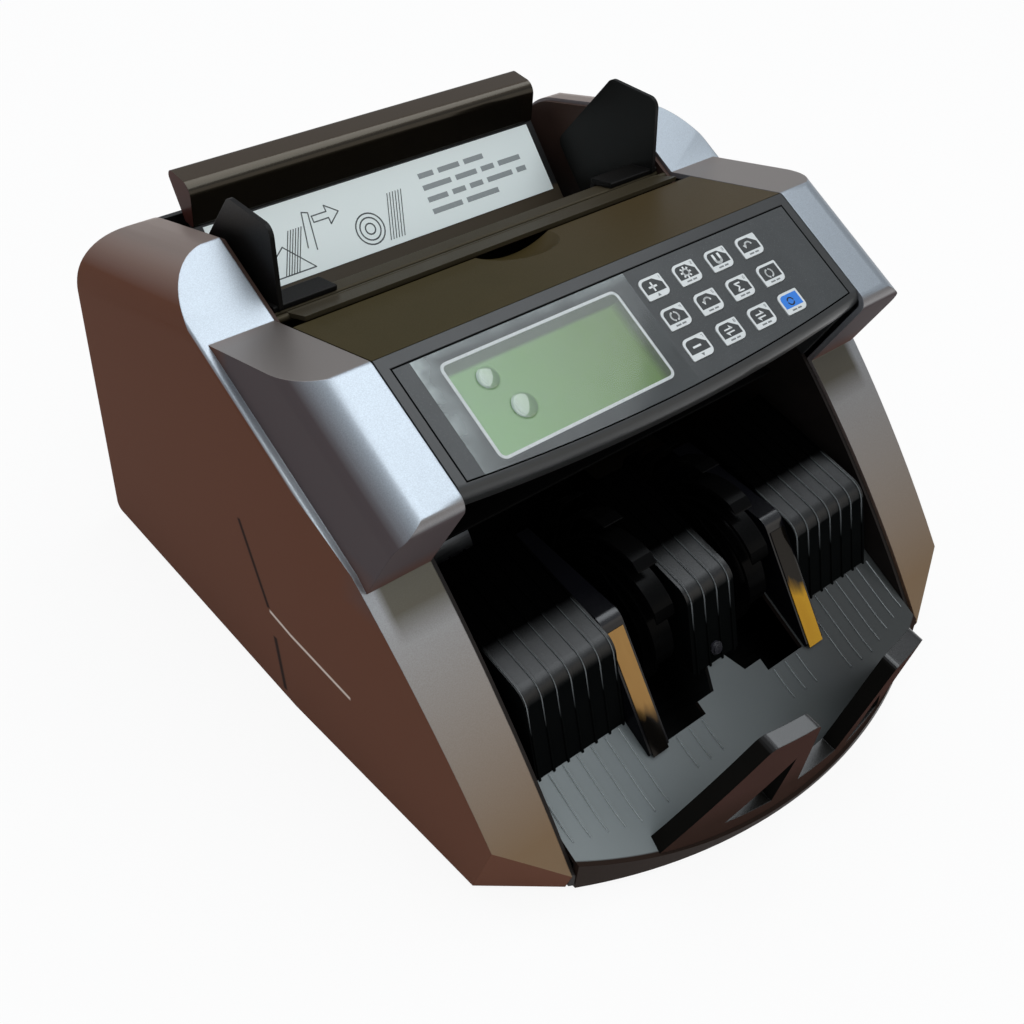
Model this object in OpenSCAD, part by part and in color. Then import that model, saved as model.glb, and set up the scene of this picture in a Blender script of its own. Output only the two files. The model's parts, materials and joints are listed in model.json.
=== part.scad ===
// Banknote counter with a top hopper, a tilted control panel and a front stacker.
// Millimetres, Z up, the front of the machine faces -Y and X runs to its right.

/* [Covers] */
// tilt of the panel, of the cover edges and of the stacker tray, degrees
tilt = 25.75; // [25:0.25:26.5]
// half of the width over both side covers
cover_half = 144; // [142:1:150]
// width of one side cover
cover_deep = 33.2; // [31:0.2:35]
// wall of the moulded side covers
cover_wall = 2.6; // [2:0.2:3.4]
// back face of the side covers
cover_back = 166; // [164:1:172]
// height of the feet
foot_h = 4; // [3:0.5:6]
// how far the sloping cover edge lies below the panel face
band_drop = 44; // [42:1:46]
// where the sloping edge meets the roof of the cover
roof_y = 95; // [90:1:100]
// fall of the roof towards the back, degrees
roof_fall = 16.5; // [14:0.5:18]
// rounding from the roof into the back
roof_round = 30; // [20:1:34]
// rounding between the sloping edge and the roof
crest_round = 2; // [1.5:0.5:4]
// rounding of the outer cover edges
edge_round = 2; // [1.5:0.5:4]
// rounding of the outer edge along the roof
roof_edge_round = 28; // [20:1:30]
// radius of the bowed lower front face
face_bow = 620; // [560:10:700]
// where the lower front face starts under the panel
knee_y = -38; // [-42:1:-34]
// lower end of the front face, front to back
toe_y = -136; // [-138:1:-132]
// lower end of the front face, height
toe_z = 15; // [13:1:18]
// how far the sides of a cover close in towards its lower front corner
taper_in = 5; // [4:0.5:7]
// outer lower front corner of a cover, front to back
facet_y = -111.2; // [-113:0.2:-109]
// plan turn of the flat front of a cover, degrees
facet_turn = 38.9; // [37:0.1:40]
// undercut of the flat front of a cover, degrees
facet_under = 11.3; // [9:0.1:13]
// where the sides of the covers start to narrow towards the front
taper_y = 5; // [0:1:20]
// plan radius of the tray's edge
nose_r = 235; // [230:1:245]
// front of the tray in the middle
nose_y = -163; // [-166:1:-161]

/* [Cheeks] */
// how far the cheeks beside the panel stay inside the outer sides of the covers
cheek_in = 4; // [3:0.5:8]
// long rounding of a cheek
cheek_round = 15; // [8:1:20]
// lower end of a cheek, below the panel middle along the panel
cheek_low = 34; // [32:1:36]
// rounding of the lower end of a cheek
cheek_end_round = 6; // [4:0.5:8]
// fall of the head's top behind the panel, degrees
brow_fall = 15.6; // [14:0.2:17]
// rounding between panel face and head top
brow_round = 4; // [3:0.5:6]

/* [Panel] */
// panel middle, front to back
panel_y = -33.4; // [-35:0.2:-32]
// panel middle, height
panel_z = 167.75; // [166:0.25:170]
// gap between the panel bezel and the covers
panel_gap = 0.6; // [0.4:0.1:1]
// panel edge above its middle
panel_top = 29.3; // [28:0.1:31]
// bowed panel edge below its middle
panel_low = 36.2; // [34:0.2:38]
// plan radius of the bowed panel edge
panel_bow = 951; // [850:1:1050]
// depth of the bezel rim
bezel_h = 12; // [10:0.5:13]
// wall of the bezel and of its skirts
bezel_wall = 2.6; // [2:0.2:3]
// rounding of the bowed lip
lip_round = 5; // [3:0.5:6]
// border of the bezel beside the printed overlay
overlay_side = 4.2; // [3:0.1:6]
// overlay edge above the panel middle
overlay_top = 24; // [23:0.2:26]
// bowed overlay edge below the panel middle
overlay_low = 31.6; // [31:0.2:33]
// depth of the overlay's seat
overlay_seat = 0.6; // [0.4:0.1:0.8]
// thickness of the overlay
overlay_t = 0.5; // [0.3:0.1:0.6]
// clearance round the overlay
overlay_gap = 0.15; // [0.1:0.05:0.3]

/* [Display and keys] */
// left edge of the display window
window_left = -84; // [-88:0.5:-80]
// width of the display window
window_w = 79; // [70:0.5:82]
// lower edge of the display window, from the panel middle
window_low = -20; // [-22:0.5:-18]
// height of the display window
window_h = 35; // [30:0.5:37]
// border of the display module behind the window
display_border = 2; // [1:0.5:3]
// thickness of the display module
display_t = 4; // [3:0.5:6]
// thickness of the clear film
film_t = 0.2; // [0.1:0.05:0.3]
// margin of the film round the window
film_margin = 5; // [3:0.5:6]
// first key column, from the middle
key_x = 17.1; // [16:0.1:18]
// first key row, from the panel middle
key_v = 12.5; // [12:0.1:13.5]
// key pitch across
key_pitch_x = 19.1; // [17.5:0.1:20]
// key pitch down
key_pitch_v = 15.2; // [14:0.1:15.6]
// key width
key_w = 12.7; // [11:0.1:13.5]
// key height on the panel
key_h = 10.1; // [9:0.1:11]
// rounding of two key corners
key_round = 3; // [2:0.2:4]
// gap round a key
key_gap = 0.25; // [0.2:0.05:0.4]
// how far a key stands above the panel face
key_proud = 0.3; // [0.2:0.05:0.6]
// key stroke
key_stroke = 0.5; // [0.3:0.1:0.6]
// thickness of the circuit boards
board_t = 1.6; // [1.2:0.1:2]

/* [Hopper] */
// top edge of the hopper plate, front to back
hopper_y = 143.5; // [142:0.5:145]
// top edge of the hopper plate, height
hopper_z = 157.5; // [155:0.5:160]
// lean of the hopper plate, degrees
hopper_lean = 46; // [45:0.5:47]
// distance of the hopper plate and bar from the side frames
hopper_side = 11.1; // [9:0.1:14]
// thickness of the hopper plate
hopper_t = 3; // [2.5:0.1:3.5]
// height of the bar's front
bar_h = 19.5; // [16:0.5:21]
// depth of the bar's top
bar_d = 20.5; // [17:0.5:21]
// rise of the bar's top towards the back
bar_rise = 1.5; // [1:0.1:5]
// rounding of the bar's front edge
bar_round = 6; // [4:0.5:7]
// front edge of the feed flap
flap_y = 46.8; // [45:0.2:48]
// depth of the feed flap
flap_d = 14.6; // [14:0.1:15]
// thickness of the feed flap
flap_t = 2; // [1.6:0.1:2.4]
// distance of the feed flap's ends from the side frames
flap_side = 5.1; // [3:0.1:8]
// how far the flap's front edge stands up at rest, degrees
flap_rest = 6; // [3:0.5:8]
// radius of the flap's hinge pins
pin_r = 1.5; // [1.2:0.1:1.8]
// gap between flap, rail and head cover
lid_gap = 2; // [1:0.1:2.4]
// depth of the hopper rail
rail_d = 10.6; // [9:0.2:12]
// height of the hopper rail
rail_h = 6; // [5:0.5:8]
// wall under the hopper rail
rail_wall = 2.2; // [1.8:0.1:3]
// radius of the finger dish
dish_r = 44; // [40:1:50]
// depth of the finger dish
dish_depth = 5; // [4:0.2:6]
// wall of the head cover
head_wall = 2.5; // [2:0.1:3]
// distance of a note guide's outer face from the side frames
guide_side = 3.1; // [2.4:0.1:5]
// thickness of a note guide
guide_t = 2; // [1.6:0.1:2.6]
// height of a note guide above the rail
guide_h = 36; // [32:0.5:40]
// depth of a note guide's top
guide_top_d = 30; // [26:1:34]
// rear corner of a note guide behind its front
guide_back = 65; // [60:1:68]
// length of a note guide's foot along the rail
guide_foot = 30; // [24:0.5:32]
// rear corner of a note guide below its top
guide_tail = 45; // [40:1:50]
// lowest corner of a note guide below its top
guide_deep = 67; // [62:1:70]
// lowest corner of a note guide in front of the rear corner
guide_slant = 22; // [18:1:26]
// rise of a note guide's lower edge towards the rail
guide_step = 5; // [3:0.5:7]
// rounding of a note guide's corners
guide_round = 5; // [3:0.5:6]
// height of a note guide's foot
guide_foot_h = 2.6; // [2.4:0.1:4]
// running gap of the guides on the rail
guide_gap = 0.3; // [0.2:0.05:0.5]

/* [Feed] */
// height of the lower path plate
path_z = 96.5; // [95:0.5:98]
// thickness of the sheet guides
sheet_t = 1.2; // [1:0.1:1.5]
// gap between the lower and the upper guide
path_gap = 9.5; // [8:0.5:10]
// radius of the shafts
shaft_r = 4; // [3.5:0.1:4.5]
// running fit of the shafts
shaft_fit = 0.05; // [0.02:0.01:0.1]
// pickup roller radius
pick_r = 16; // [14:0.5:18]
// pickup rollers below the top edge of the hopper plate
pick_down = 52; // [50:0.5:54]
// feed roller radius
feed_r = 17.5; // [15:0.5:19]
// feed shaft, front to back
feed_y = 74; // [70:0.5:76]
// how far the rollers stand proud of their plates
roller_proud = 1; // [0.6:0.1:1.5]
// inner end of the rollers, from the middle
roller_x = 27; // [24:0.5:32]
// width of the rollers
roller_w = 18; // [14:0.5:24]
// gap round the rollers
roller_gap = 1.5; // [1:0.1:2]

/* [Stacker] */
// where the ribbed blocks meet the tray, front to back
block_y = -104.6; // [-106:0.2:-103]
// height of the tray at the blocks
tray_z = 34.5; // [33:0.5:36]
// depth of the blocks behind the foot of their front
block_deep = 78.6; // [76:0.2:80]
// how far the tray reaches under the blocks
tray_under = 16.6; // [14:0.2:18]
// backward lean of the block fronts, degrees
block_lean = 18; // [15:0.5:20]
// rise of the block tops towards the back, degrees
block_top_fall = 10.5; // [8:0.5:14]
// front edge of the blocks above the tray
block_h = 40; // [38:0.5:42]
// rounding of the block fronts
block_round = 10; // [8:0.5:14]
// distance of the outer blocks from the side frames
block_margin = 5.1; // [3:0.1:8]
// inner end of the outer blocks
slot_out = 44; // [42:0.5:46]
// half width of the middle block
slot_in = 14; // [12:0.5:16]
// spacing of the ribs on the blocks
rib_pitch = 7.6; // [6.8:0.1:8.4]
// height of the ribs
rib_h = 0.7; // [0.5:0.1:1]
// width of the ribs
rib_w = 1.1; // [0.8:0.1:1.4]
// width of a fin
fin_w = 11; // [9:0.5:12]
// foot of a fin in front of the block
fin_d = 18.4; // [15:0.2:20]
// front corner of a fin behind the block's foot
fin_bend_back = 21.6; // [20:0.2:24]
// front corner of a fin above the tray at the block
fin_bend_h = 40.8; // [39:0.2:42]
// rounding of the bend of a fin
fin_round = 8; // [6:0.5:10]
// rise of a fin's top towards the back, degrees
fin_top_fall = 3; // [0:0.5:6]
// thickness of the polished strips
strip_t = 0.4; // [0.3:0.1:0.6]
// stacker shaft, front to back
wheel_y = -54; // [-56:0.5:-52]
// stacker shaft, height
wheel_z = 54; // [52.5:0.5:55]
// stacker wheel radius
wheel_r = 44.5; // [41:0.5:45]
// stacker wheel hub radius
hub_r = 22; // [18:0.5:25]
// stacker wheel thickness
wheel_w = 10.5; // [8:0.5:14]
// stacker wheel middle, from the middle of the machine
wheel_x = 29; // [28:0.5:30]
// vanes on a stacker wheel
vanes = 12; // [10:1:14]
// radius of a vane's curve
vane_r = 33.6; // [32:0.2:35]
// turn of the wheels at rest, degrees
vane_turn = 10; // [0:1:29]
// thickness of a vane
vane_t = 1.5; // [1.2:0.1:1.8]
// tray wall
tray_t = 2.5; // [2:0.1:3]
// length of the tray notches in front of the blocks
notch_d = 16; // [14:0.5:18]
// thickness of the front stop
stop_t = 7; // [5:0.5:9]
// forward lean of the front stop, degrees
stop_lean = 9; // [6:0.5:10]
// how far the stop stands behind the nose
stop_back = 2; // [1:0.5:4]
// height of the stop's wings above the foot of the machine
stop_h = 71; // [64:0.5:74]
// height of the low middle of the stop
stop_low = 20; // [16:0.5:26]
// half width of the stop at its foot
stop_half = 77; // [72:0.5:82]
// outer end of a wing's top
wing_out = 46; // [43:0.5:49]
// inner end of a wing's top
wing_in = 23; // [21:0.5:25]
// half width of the low middle
stop_gap = 12; // [10:0.5:14]
// rounding of the wing corners
wing_round = 6; // [4:0.5:8]

/* [Frame and drive] */
// thickness of the side frames
frame_t = 2; // [1.5:0.1:2.3]
// gap between a side frame and the cover
frame_gap = 0.4; // [0.3:0.1:0.6]
// how far the side frames stay below the cover edges
frame_inset = 1.5; // [1.2:0.1:2]
// fitting gap of the pieces between the side frames
fit_gap = 0.3; // [0.2:0.05:0.5]
// radius of the feet
foot_r = 9; // [7:0.5:11]
// distance of the feet from the outer faces of the side frames
foot_side = 22.4; // [18:0.2:30]
// front feet
foot_front = -72; // [-76:1:-66]
// back feet
foot_back = 138; // [130:1:142]
// share of its lane that a belt fills
belt_share = 0.68; // [0.6:0.01:0.72]
// thickness of the belts
belt_t = 1.4; // [1:0.1:1.8]
// running gap of the belts on the pulleys
belt_gap = 0.3; // [0.2:0.05:0.4]
// gap between the left frame and the first belt lane
lane_start = 2; // [1:0.1:3]
// gap between the last belt lane and the wall of the cover
lane_end = 1.8; // [1.5:0.1:3]
// motor pulley radius
motor_pulley_r = 9; // [7:0.5:10]
// feed pulley radius on the motor belt
feed_pulley_r = 14; // [12:0.5:16]
// pulley radius of the pickup and stacker belts
small_pulley_r = 10; // [8:0.5:11]
// motor shaft, front to back
motor_y = 20; // [16:1:26]
// motor shaft, height
motor_z = 42; // [38:1:46]
// motor radius
motor_r = 21; // [18:0.5:24]
// motor length
motor_l = 58; // [50:1:64]
// motor shaft radius
motor_shaft_r = 3; // [2.5:0.1:3.5]

/* [Back] */
// thickness of the rear panel
rear_t = 2.5; // [2:0.1:3]
// top of the rear panel
rear_top = 156; // [150:1:157]
// middle of the mains inlet, across
inlet_x = -58; // [-62:1:-50]
// middle of the mains inlet, height
inlet_z = 40; // [36:1:46]
// width of the inlet module
inlet_w = 50; // [48:1:54]
// height of the inlet module
inlet_h = 28; // [26:0.5:32]
// rim of the inlet module on the rear panel
inlet_rim = 2.5; // [2:0.1:3.5]
// width of the socket
socket_w = 24; // [23.6:0.1:24.6]
// height of the socket
socket_h = 16.6; // [16.2:0.1:17]
// depth of the socket
socket_d = 15; // [13:0.5:17]
// radius of the rocker's rounded back
rocker_r = 9; // [8:0.5:10]
// width of the rocker
rocker_w = 13; // [11:0.5:14]

// first air slot of the rear panel
vent_x = 25; // [22:1:28]
// width of an air slot and of the bar beside it
vent_w = 3.9; // [3:0.1:4.2]
// lower end of the air slots
vent_z = 30; // [26:1:36]
// length of the air slots
vent_h = 60; // [50:1:70]
// air slots in the rear panel
vents = 9; // [5:1:9]
// radius of the cover screws
screw_r = 1.5; // [1.2:0.1:1.8]
// cover screws in from the edges of the rear panel
screw_in = 9; // [7:0.5:11]

/* [Inside] */
// width of the transformer core
coil_w = 48; // [44:1:52]
// depth of the transformer core
coil_d = 40; // [36:1:42]
// height of the transformer core
coil_h = 34; // [30:1:35]
// left side of the transformer
coil_x = 36; // [30:1:40]
// front of the transformer core
coil_y = -16; // [-20:1:-12]
// width of the main board
board_w = 112; // [100:1:114]
// depth of the main board
board_d = 64; // [58:1:66]
// left side of the main board
board_x = -38; // [-40:1:-36]
// front of the main board
board_y = 86; // [84:1:88]
// height of the posts under the main board
board_lift = 6; // [5:0.5:8]

/* [Hidden] */
$fn = 64;
fine = 240;
inner_round = 0.3;
far = 600;
eps = 0.01;

// corners and edges that follow the width over the covers
facet_x = cover_half - taper_in;
cheek_half = cover_half - cheek_in;
cover_in = cover_half - cover_deep;

// frames and the pieces between them
frame_out = cover_in - frame_gap;
frame_in = frame_out - frame_t;
span = frame_in - fit_gap;
panel_half = cover_in - panel_gap;
overlay_half = panel_half - overlay_side;
hopper_half = span - hopper_side;
flap_half = span - flap_side;
guide_x = span - guide_side;
block_half = span - block_margin;
foot_x = frame_out - foot_side;
base_top = foot_h + frame_inset;

// lines of the side view as point and angle
panel_p = [panel_y, panel_z];
along = [cos(tilt), sin(tilt)];
inward = [sin(tilt), -cos(tilt)];
band_p = panel_p + band_drop * inward;
brow_p = panel_p + panel_top * along;
roof_p = [roof_y, line_z(band_p, tilt, roof_y)];
knee_p = [knee_y, line_z(band_p, tilt, knee_y)];
toe_p = [toe_y, toe_z];
face_c = arc_centre(toe_p, knee_p, face_bow);
nose_c = [0, nose_y + nose_r];

// hopper plate, rollers and path
lean = [cos(hopper_lean), sin(hopper_lean)];
lean_n = [-sin(hopper_lean), cos(hopper_lean)];
hopper_p = [hopper_y, hopper_z];
pick_c = hopper_p - pick_down * lean - (pick_r - roller_proud) * lean_n;
feed_c = [feed_y, path_z - feed_r + roller_proud];
wheel_c = [wheel_y, wheel_z];
motor_c = [motor_y, motor_z];
flap_back = flap_y + flap_d;
rail_y = flap_back + lid_gap;
rail_back = rail_y + rail_d;
pin_c = [flap_back - pin_r - 0.3, brow_z(flap_back - pin_r - 0.3) - pin_r - 0.1];
upper_z = path_z + path_gap;

// ribbed blocks
block_p = [block_y, tray_z];
block_dir = 90 - block_lean;
block_edge = block_p + block_h * [sin(block_lean), cos(block_lean)];
block_back = block_y + block_deep;
tray_back = block_y + tray_under;
block_lift = 1;
block_sole = tray_line(tray_back) + block_lift;

// three drive lanes share the room between the left frame and the narrow front of the cover
lane_w = (facet_x - cover_wall - frame_out - lane_start - lane_end) / 3;
belt_w = belt_share * lane_w;
lane_1 = -frame_out - lane_start;
lane_2 = lane_1 - lane_w;
lane_3 = lane_2 - lane_w;

// the origin lies under the middle of the machine, between the stop's top edge and the back
stop_r = nose_r - stop_back;
wing_sag = stop_r - sqrt(stop_r * stop_r - wing_in * wing_in);
front_y = nose_y + stop_back + wing_sag * cos(stop_lean) - stop_h * sin(stop_lean);
home_y = -(front_y + cover_back) / 2;

// helpers
function line_z(p, a, y) = p[1] + (y - p[0]) * tan(a);
function unit(v) = v / norm(v);
function meet(p, a, q, b) =
  p + ((q - p)[0] * sin(b) - (q - p)[1] * cos(b)) / sin(b - a) * [cos(a), sin(a)];
function arc_centre(p, q, r) =
  let (m = (p + q) / 2, d = unit(q - p))
  m + sqrt(r * r - norm(q - p) * norm(q - p) / 4) * [d[1], -d[0]];
// points of a rounded corner, as short straight steps from one side to the other
function corner_steps(a, p, b, r, n) =
  let (da = unit(a - p), db = unit(b - p), half = acos(da * db) / 2)
  let (way = unit(da + db), c = p + way * r / sin(half), open = 90 - half)
  [for (k = [0 : n])
    let (t = (1 - 2 * k / n) * open, s = sign(da[0] * db[1] - da[1] * db[0]))
    c - r * [way[0] * cos(t) - s * way[1] * sin(t), s * way[0] * sin(t) + way[1] * cos(t)]];
function brow_z(y) = line_z(brow_p, -brow_fall, y);
function tray_line(y) = line_z(block_p, tilt, y);

// extrudes a side view drawn as front-to-back and height, from one place across to another
module across(x0, x1) {
  translate([x0, 0, 0]) rotate([90, 0, 90]) linear_extrude(x1 - x0) children();
}

// extrudes a section drawn as across and height along a sloping direction of the side view
module run_along(p, a) {
  translate([0, p[0], p[1]]) rotate([a, 0, 0])
    translate([0, far, 0]) rotate([90, 0, 0]) linear_extrude(2 * far) children();
}

// places a piece on the panel: X across, Y up the panel, Z out of it
module on_panel() {
  translate([0, panel_y, panel_z]) rotate([tilt, 0, 0]) children();
}

// places a piece on the hopper plate: X across, Y up the plate, Z out of it
module on_hopper() {
  translate([0, hopper_y, hopper_z]) rotate([hopper_lean, 0, 0]) children();
}

// places a piece on the tray at the blocks: X across, Y up the tray, Z out of it
module on_tray() {
  translate([0, block_y, tray_z]) rotate([tilt, 0, 0]) children();
}

// moves a piece so that the origin lies under the middle of the machine
module home() {
  translate([0, home_y, 0]) children();
}

module both_sides() {
  children();
  mirror([1, 0, 0]) children();
}

// polygon with one radius for each corner, where only outward corners are rounded
module soft_polygon(points, radii) {
  n = len(points);
  difference() {
    polygon(points);
    for (i = [0 : n - 1])
      if (radii[i] > 0)
        corner_cut(points[(i + n - 1) % n], points[i], points[(i + 1) % n], radii[i]);
  }
}

module corner_cut(a, p, b, r) {
  da = unit(a - p);
  db = unit(b - p);
  half = acos(da * db) / 2;
  reach = r / tan(half);
  way = unit(da + db);
  difference() {
    polygon([p + da * reach, p - way * r, p + db * reach]);
    translate(p + way * r / sin(half)) circle(r);
  }
}

// closed outline round two pulleys
module loop_fill(p, pr, q, qr) {
  hull() {
    translate(p) circle(pr);
    translate(q) circle(qr);
  }
}

module belt(p, pr, q, qr, lane) {
  across(lane - lane_w / 2 - belt_w / 2, lane - lane_w / 2 + belt_w / 2)
    difference() {
      loop_fill(p, pr + belt_gap + belt_t, q, qr + belt_gap + belt_t);
      loop_fill(p, pr + belt_gap, q, qr + belt_gap);
    }
}

module pulley(c, r, lane) {
  rim = r / 10;
  side = lane_w / 25;
  both = (lane_w - belt_w) / 2 - 1.2 * side;
  across(lane - lane_w / 2 - belt_w / 2, lane - lane_w / 2 + belt_w / 2) translate(c) circle(r);
  across(lane - lane_w + side, lane - lane_w + side + both) translate(c) circle(r + rim);
  across(lane - side - both, lane - side) translate(c) circle(r + rim);
}

// side cover
module cover_side(e) {
  band_e = band_p + e * inward;
  roof_e = roof_p - e * [sin(roof_fall), cos(roof_fall)];
  low = nose_y - 20;
  back_e = meet([cover_back - e, 0], 90, roof_e, -roof_fall);
  crest_e = meet(roof_e, -roof_fall, band_e, tilt);
  front_e = [low, line_z(band_e, tilt, low)];
  crest = corner_steps(back_e, crest_e, front_e, max(crest_round - e, inner_round), 6);
  intersection() {
    soft_polygon(
      concat([[low, foot_h + e], [cover_back - e, foot_h + e], back_e], crest, [front_e]),
      [0, 4, roof_round - e, for (step = crest) 0, 0]);
    translate(face_c) circle(face_bow - e, $fn = fine);
  }
}

// half section under one sloping edge, with the outer corner rounded; a hair above the edge's own plane
edge_lift = 0.03;

module edge_section(x0, x1, e, r) {
  top = edge_lift - e;
  soft_polygon([[x0 - 1, top], [x1 - e, top], [x1 - e, -far], [x0 - 1, -far]], [0, max(r - e, inner_round), 0, 0]);
}

// plan of a cover: straight at the back, narrowing from the taper to the front corner
module cover_plan(e, x0) {
  low = nose_y - 40;
  slope = (cover_half - facet_x) / (taper_y - facet_y);
  polygon([
    [x0 - 1, low],
    [cover_half - e - slope * (taper_y - low), low],
    [cover_half - e, taper_y],
    [cover_half - e, cover_back],
    [x0 - 1, cover_back]]);
}

// half space behind the flat, slightly undercut front of a cover
module facet_space(e) {
  translate([facet_x, facet_y, foot_h]) rotate([0, 0, facet_turn]) rotate([facet_under, 0, 0])
    translate([-far, e, -far]) cube(2 * far);
}

module cover_solid(e, x0) {
  intersection() {
    across(x0, cover_half - e) cover_side(e);
    linear_extrude(far) cover_plan(e, x0);
    facet_space(e);
    run_along(band_p, tilt) edge_section(x0, cover_half, e, edge_round);
    run_along(roof_p, -roof_fall) edge_section(x0, cover_half, e, roof_edge_round);
    translate([0, face_c[0], face_c[1]]) rotate([0, 90, 0])
      rotate_extrude($fn = fine)
        soft_polygon([
          [0, x0 - 1],
          [face_bow + edge_lift - e, x0 - 1],
          [face_bow + edge_lift - e, cover_half - e],
          [0, cover_half - e]],
          [0, 0, max(edge_round - e, inner_round), 0]);
  }
}

module cheek_side(e) {
  face_e = panel_p + e * inward;
  brow_e = brow_p - e * [sin(brow_fall), cos(brow_fall)];
  end_e = panel_p - (cheek_low - e) * along;
  back = roof_y - 20;
  soft_polygon([
    meet(end_e, tilt + 90, face_e, tilt),
    meet(face_e, tilt, brow_e, -brow_fall),
    [back, line_z(brow_e, -brow_fall, back)],
    [back, tray_z + 70],
    end_e + (band_drop + 25) * inward],
    [cheek_end_round - e, brow_round - e, 0, 0, 0]);
}

module cheek_solid(e, x0) {
  intersection() {
    across(x0, cheek_half - e) cheek_side(e);
    run_along(panel_p, tilt) edge_section(x0, cheek_half, e, cheek_round);
  }
}

module side_cover() {
  difference() {
    union() {
      cover_solid(0, cover_in);
      cheek_solid(0, cover_in);
    }
    cover_solid(cover_wall, cover_in - 1);
    cheek_solid(cover_wall, cover_in - 1);
  }
}

module right_cover() {
  color("silver") side_cover();
}

module left_cover() {
  color("silver") mirror([1, 0, 0]) side_cover();
}

// side frames carry the shafts and close the covers
module side_frame() {
  difference() {
    intersection() {
      across(frame_in, frame_out)
        difference() {
          cover_side(frame_inset);
          translate(pick_c) circle(shaft_r + shaft_fit);
          translate(feed_c) circle(shaft_r + shaft_fit);
          translate(wheel_c) circle(shaft_r + shaft_fit);
          translate(pin_c) circle(pin_r + shaft_fit);
        }
      translate([nose_c[0], nose_c[1], 0]) cylinder(r = nose_r - fit_gap, h = far, $fn = fine);
    }
  }
}

module right_frame() {
  color("dimgray") side_frame();
}

module left_frame() {
  color("dimgray")
    difference() {
      mirror([1, 0, 0]) side_frame();
      across(-frame_out - 1, -frame_in + 1) translate(motor_c) circle(motor_shaft_r + 2);
    }
}

// floor
base_front = block_y - 22;
base_back = cover_back - 6;

module base_plate() {
  color("gray")
    difference() {
      translate([-frame_out, base_front, foot_h])
        cube([2 * frame_out, base_back - base_front, frame_inset]);
      foot_places(foot_r / 3 + fit_gap, 3 * frame_inset, foot_h - frame_inset);
      for (i = [-3 : 3])
        translate([i * 9 - 1.5, foot_front + 20, foot_h - 1]) cube([3, 40, frame_inset + 2]);
    }
}

module foot_places(r, h, z) {
  for (x = [-foot_x, foot_x], y = [foot_front, foot_back]) translate([x, y, z]) cylinder(r = r, h = h);
}

module rubber_feet() {
  color("black") {
    foot_places(foot_r, foot_h, 0);
    foot_places(foot_r / 3, frame_inset + 2, foot_h - eps);
    foot_places(foot_r / 2, 1.5, base_top + fit_gap);
  }
}

// back
rear_y = base_back;
rear_out = rear_y + rear_t;
rocker_side = inlet_w / 2 - 4 - rocker_w / 2;
socket_side = -inlet_w / 2 + 3.5 + socket_w / 2;

module rear_screws(r, y0, y1) {
  for (x = [-span + screw_in, span - screw_in], z = [base_top + screw_in, rear_top - screw_in])
    translate([x, y1, z]) rotate([90, 0, 0]) cylinder(r = r, h = y1 - y0);
}

module rear_panel() {
  color("#202020")
    difference() {
      translate([-span, rear_y, base_top]) cube([2 * span, rear_t, rear_top - base_top]);
      translate([inlet_x - inlet_w / 2 - fit_gap, rear_y - 1, inlet_z - inlet_h / 2 - fit_gap])
        cube([inlet_w + 2 * fit_gap, rear_t + 2, inlet_h + 2 * fit_gap]);
      rear_screws(screw_r + 0.1, rear_y - 1, rear_out + 1);
      for (i = [0 : vents - 1])
        translate([vent_x + 2 * i * vent_w, rear_y - 1, vent_z]) cube([vent_w, rear_t + 2, vent_h]);
    }
}

module cover_screws() {
  color("lightgray") {
    rear_screws(screw_r, rear_y - 3 * screw_r, rear_out + screw_r / 3);
    rear_screws(2 * screw_r, rear_out + 0.05, rear_out + screw_r);
  }
}

// inlet with its socket, pins and the well of the rocker
module power_inlet() {
  deep = socket_d + 4;
  color("black") {
    difference() {
      union() {
        translate([inlet_x - inlet_w / 2, rear_out - deep, inlet_z - inlet_h / 2])
          cube([inlet_w, deep, inlet_h]);
        translate([inlet_x - inlet_w / 2 - inlet_rim, rear_out + 0.05, inlet_z - inlet_h / 2 - inlet_rim])
          cube([inlet_w + 2 * inlet_rim, 1.5, inlet_h + 2 * inlet_rim]);
      }
      translate([inlet_x + socket_side, rear_out + 2, inlet_z]) rotate([90, 0, 0])
        linear_extrude(socket_d + 2)
          soft_polygon([[-socket_w / 2, -socket_h / 2], [socket_w / 2, -socket_h / 2],
            [socket_w / 2, socket_h / 2], [-socket_w / 2, socket_h / 2]], [1.5, 1.5, 5, 5]);
      translate([inlet_x + rocker_side - rocker_w / 2 - 0.4, rear_out - rocker_r - 1, inlet_z - rocker_r - 0.5])
        cube([rocker_w + 0.8, rocker_r + 4, 2 * rocker_r + 1]);
    }
    for (p = [[-7, -2], [0, 2], [7, -2]])
      translate([inlet_x + socket_side + p[0] - 1, rear_out - socket_d - 1, inlet_z + p[1] - 2])
        cube([2, socket_d - 2, 4]);
    for (s = [-1, 1])
      translate([inlet_x + rocker_side + s * (rocker_w / 2 + 0.4), rear_out - 2, inlet_z]) rotate([0, -90 * s, 0])
        cylinder(r = 1.5, h = 1.2);
  }
}

rocker_tilt = 8;

module power_rocker() {
  color("firebrick")
    translate([inlet_x + rocker_side, rear_out - 2, inlet_z]) rotate([rocker_tilt, 0, 0])
      difference() {
        intersection() {
          rotate([0, 90, 0]) cylinder(r = rocker_r - 0.6, h = rocker_w, center = true);
          translate([-rocker_w, -rocker_r, -rocker_r]) cube([2 * rocker_w, rocker_r + 3, 2 * rocker_r]);
          translate([-rocker_w, -3.5, -rocker_r]) cube([2 * rocker_w, 2 * rocker_r, 2 * rocker_r]);
        }
        rotate([0, 90, 0]) cylinder(r = 1.5 + shaft_fit, h = 2 * rocker_w, center = true);
      }
}

// panel
module panel_plan(half, top, low, bow, grow) {
  intersection() {
    translate([-half - grow, -low - 10]) square([2 * (half + grow), low + 10 + top + grow]);
    translate([0, bow - low]) circle(bow + grow, $fn = fine);
  }
}

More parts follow.
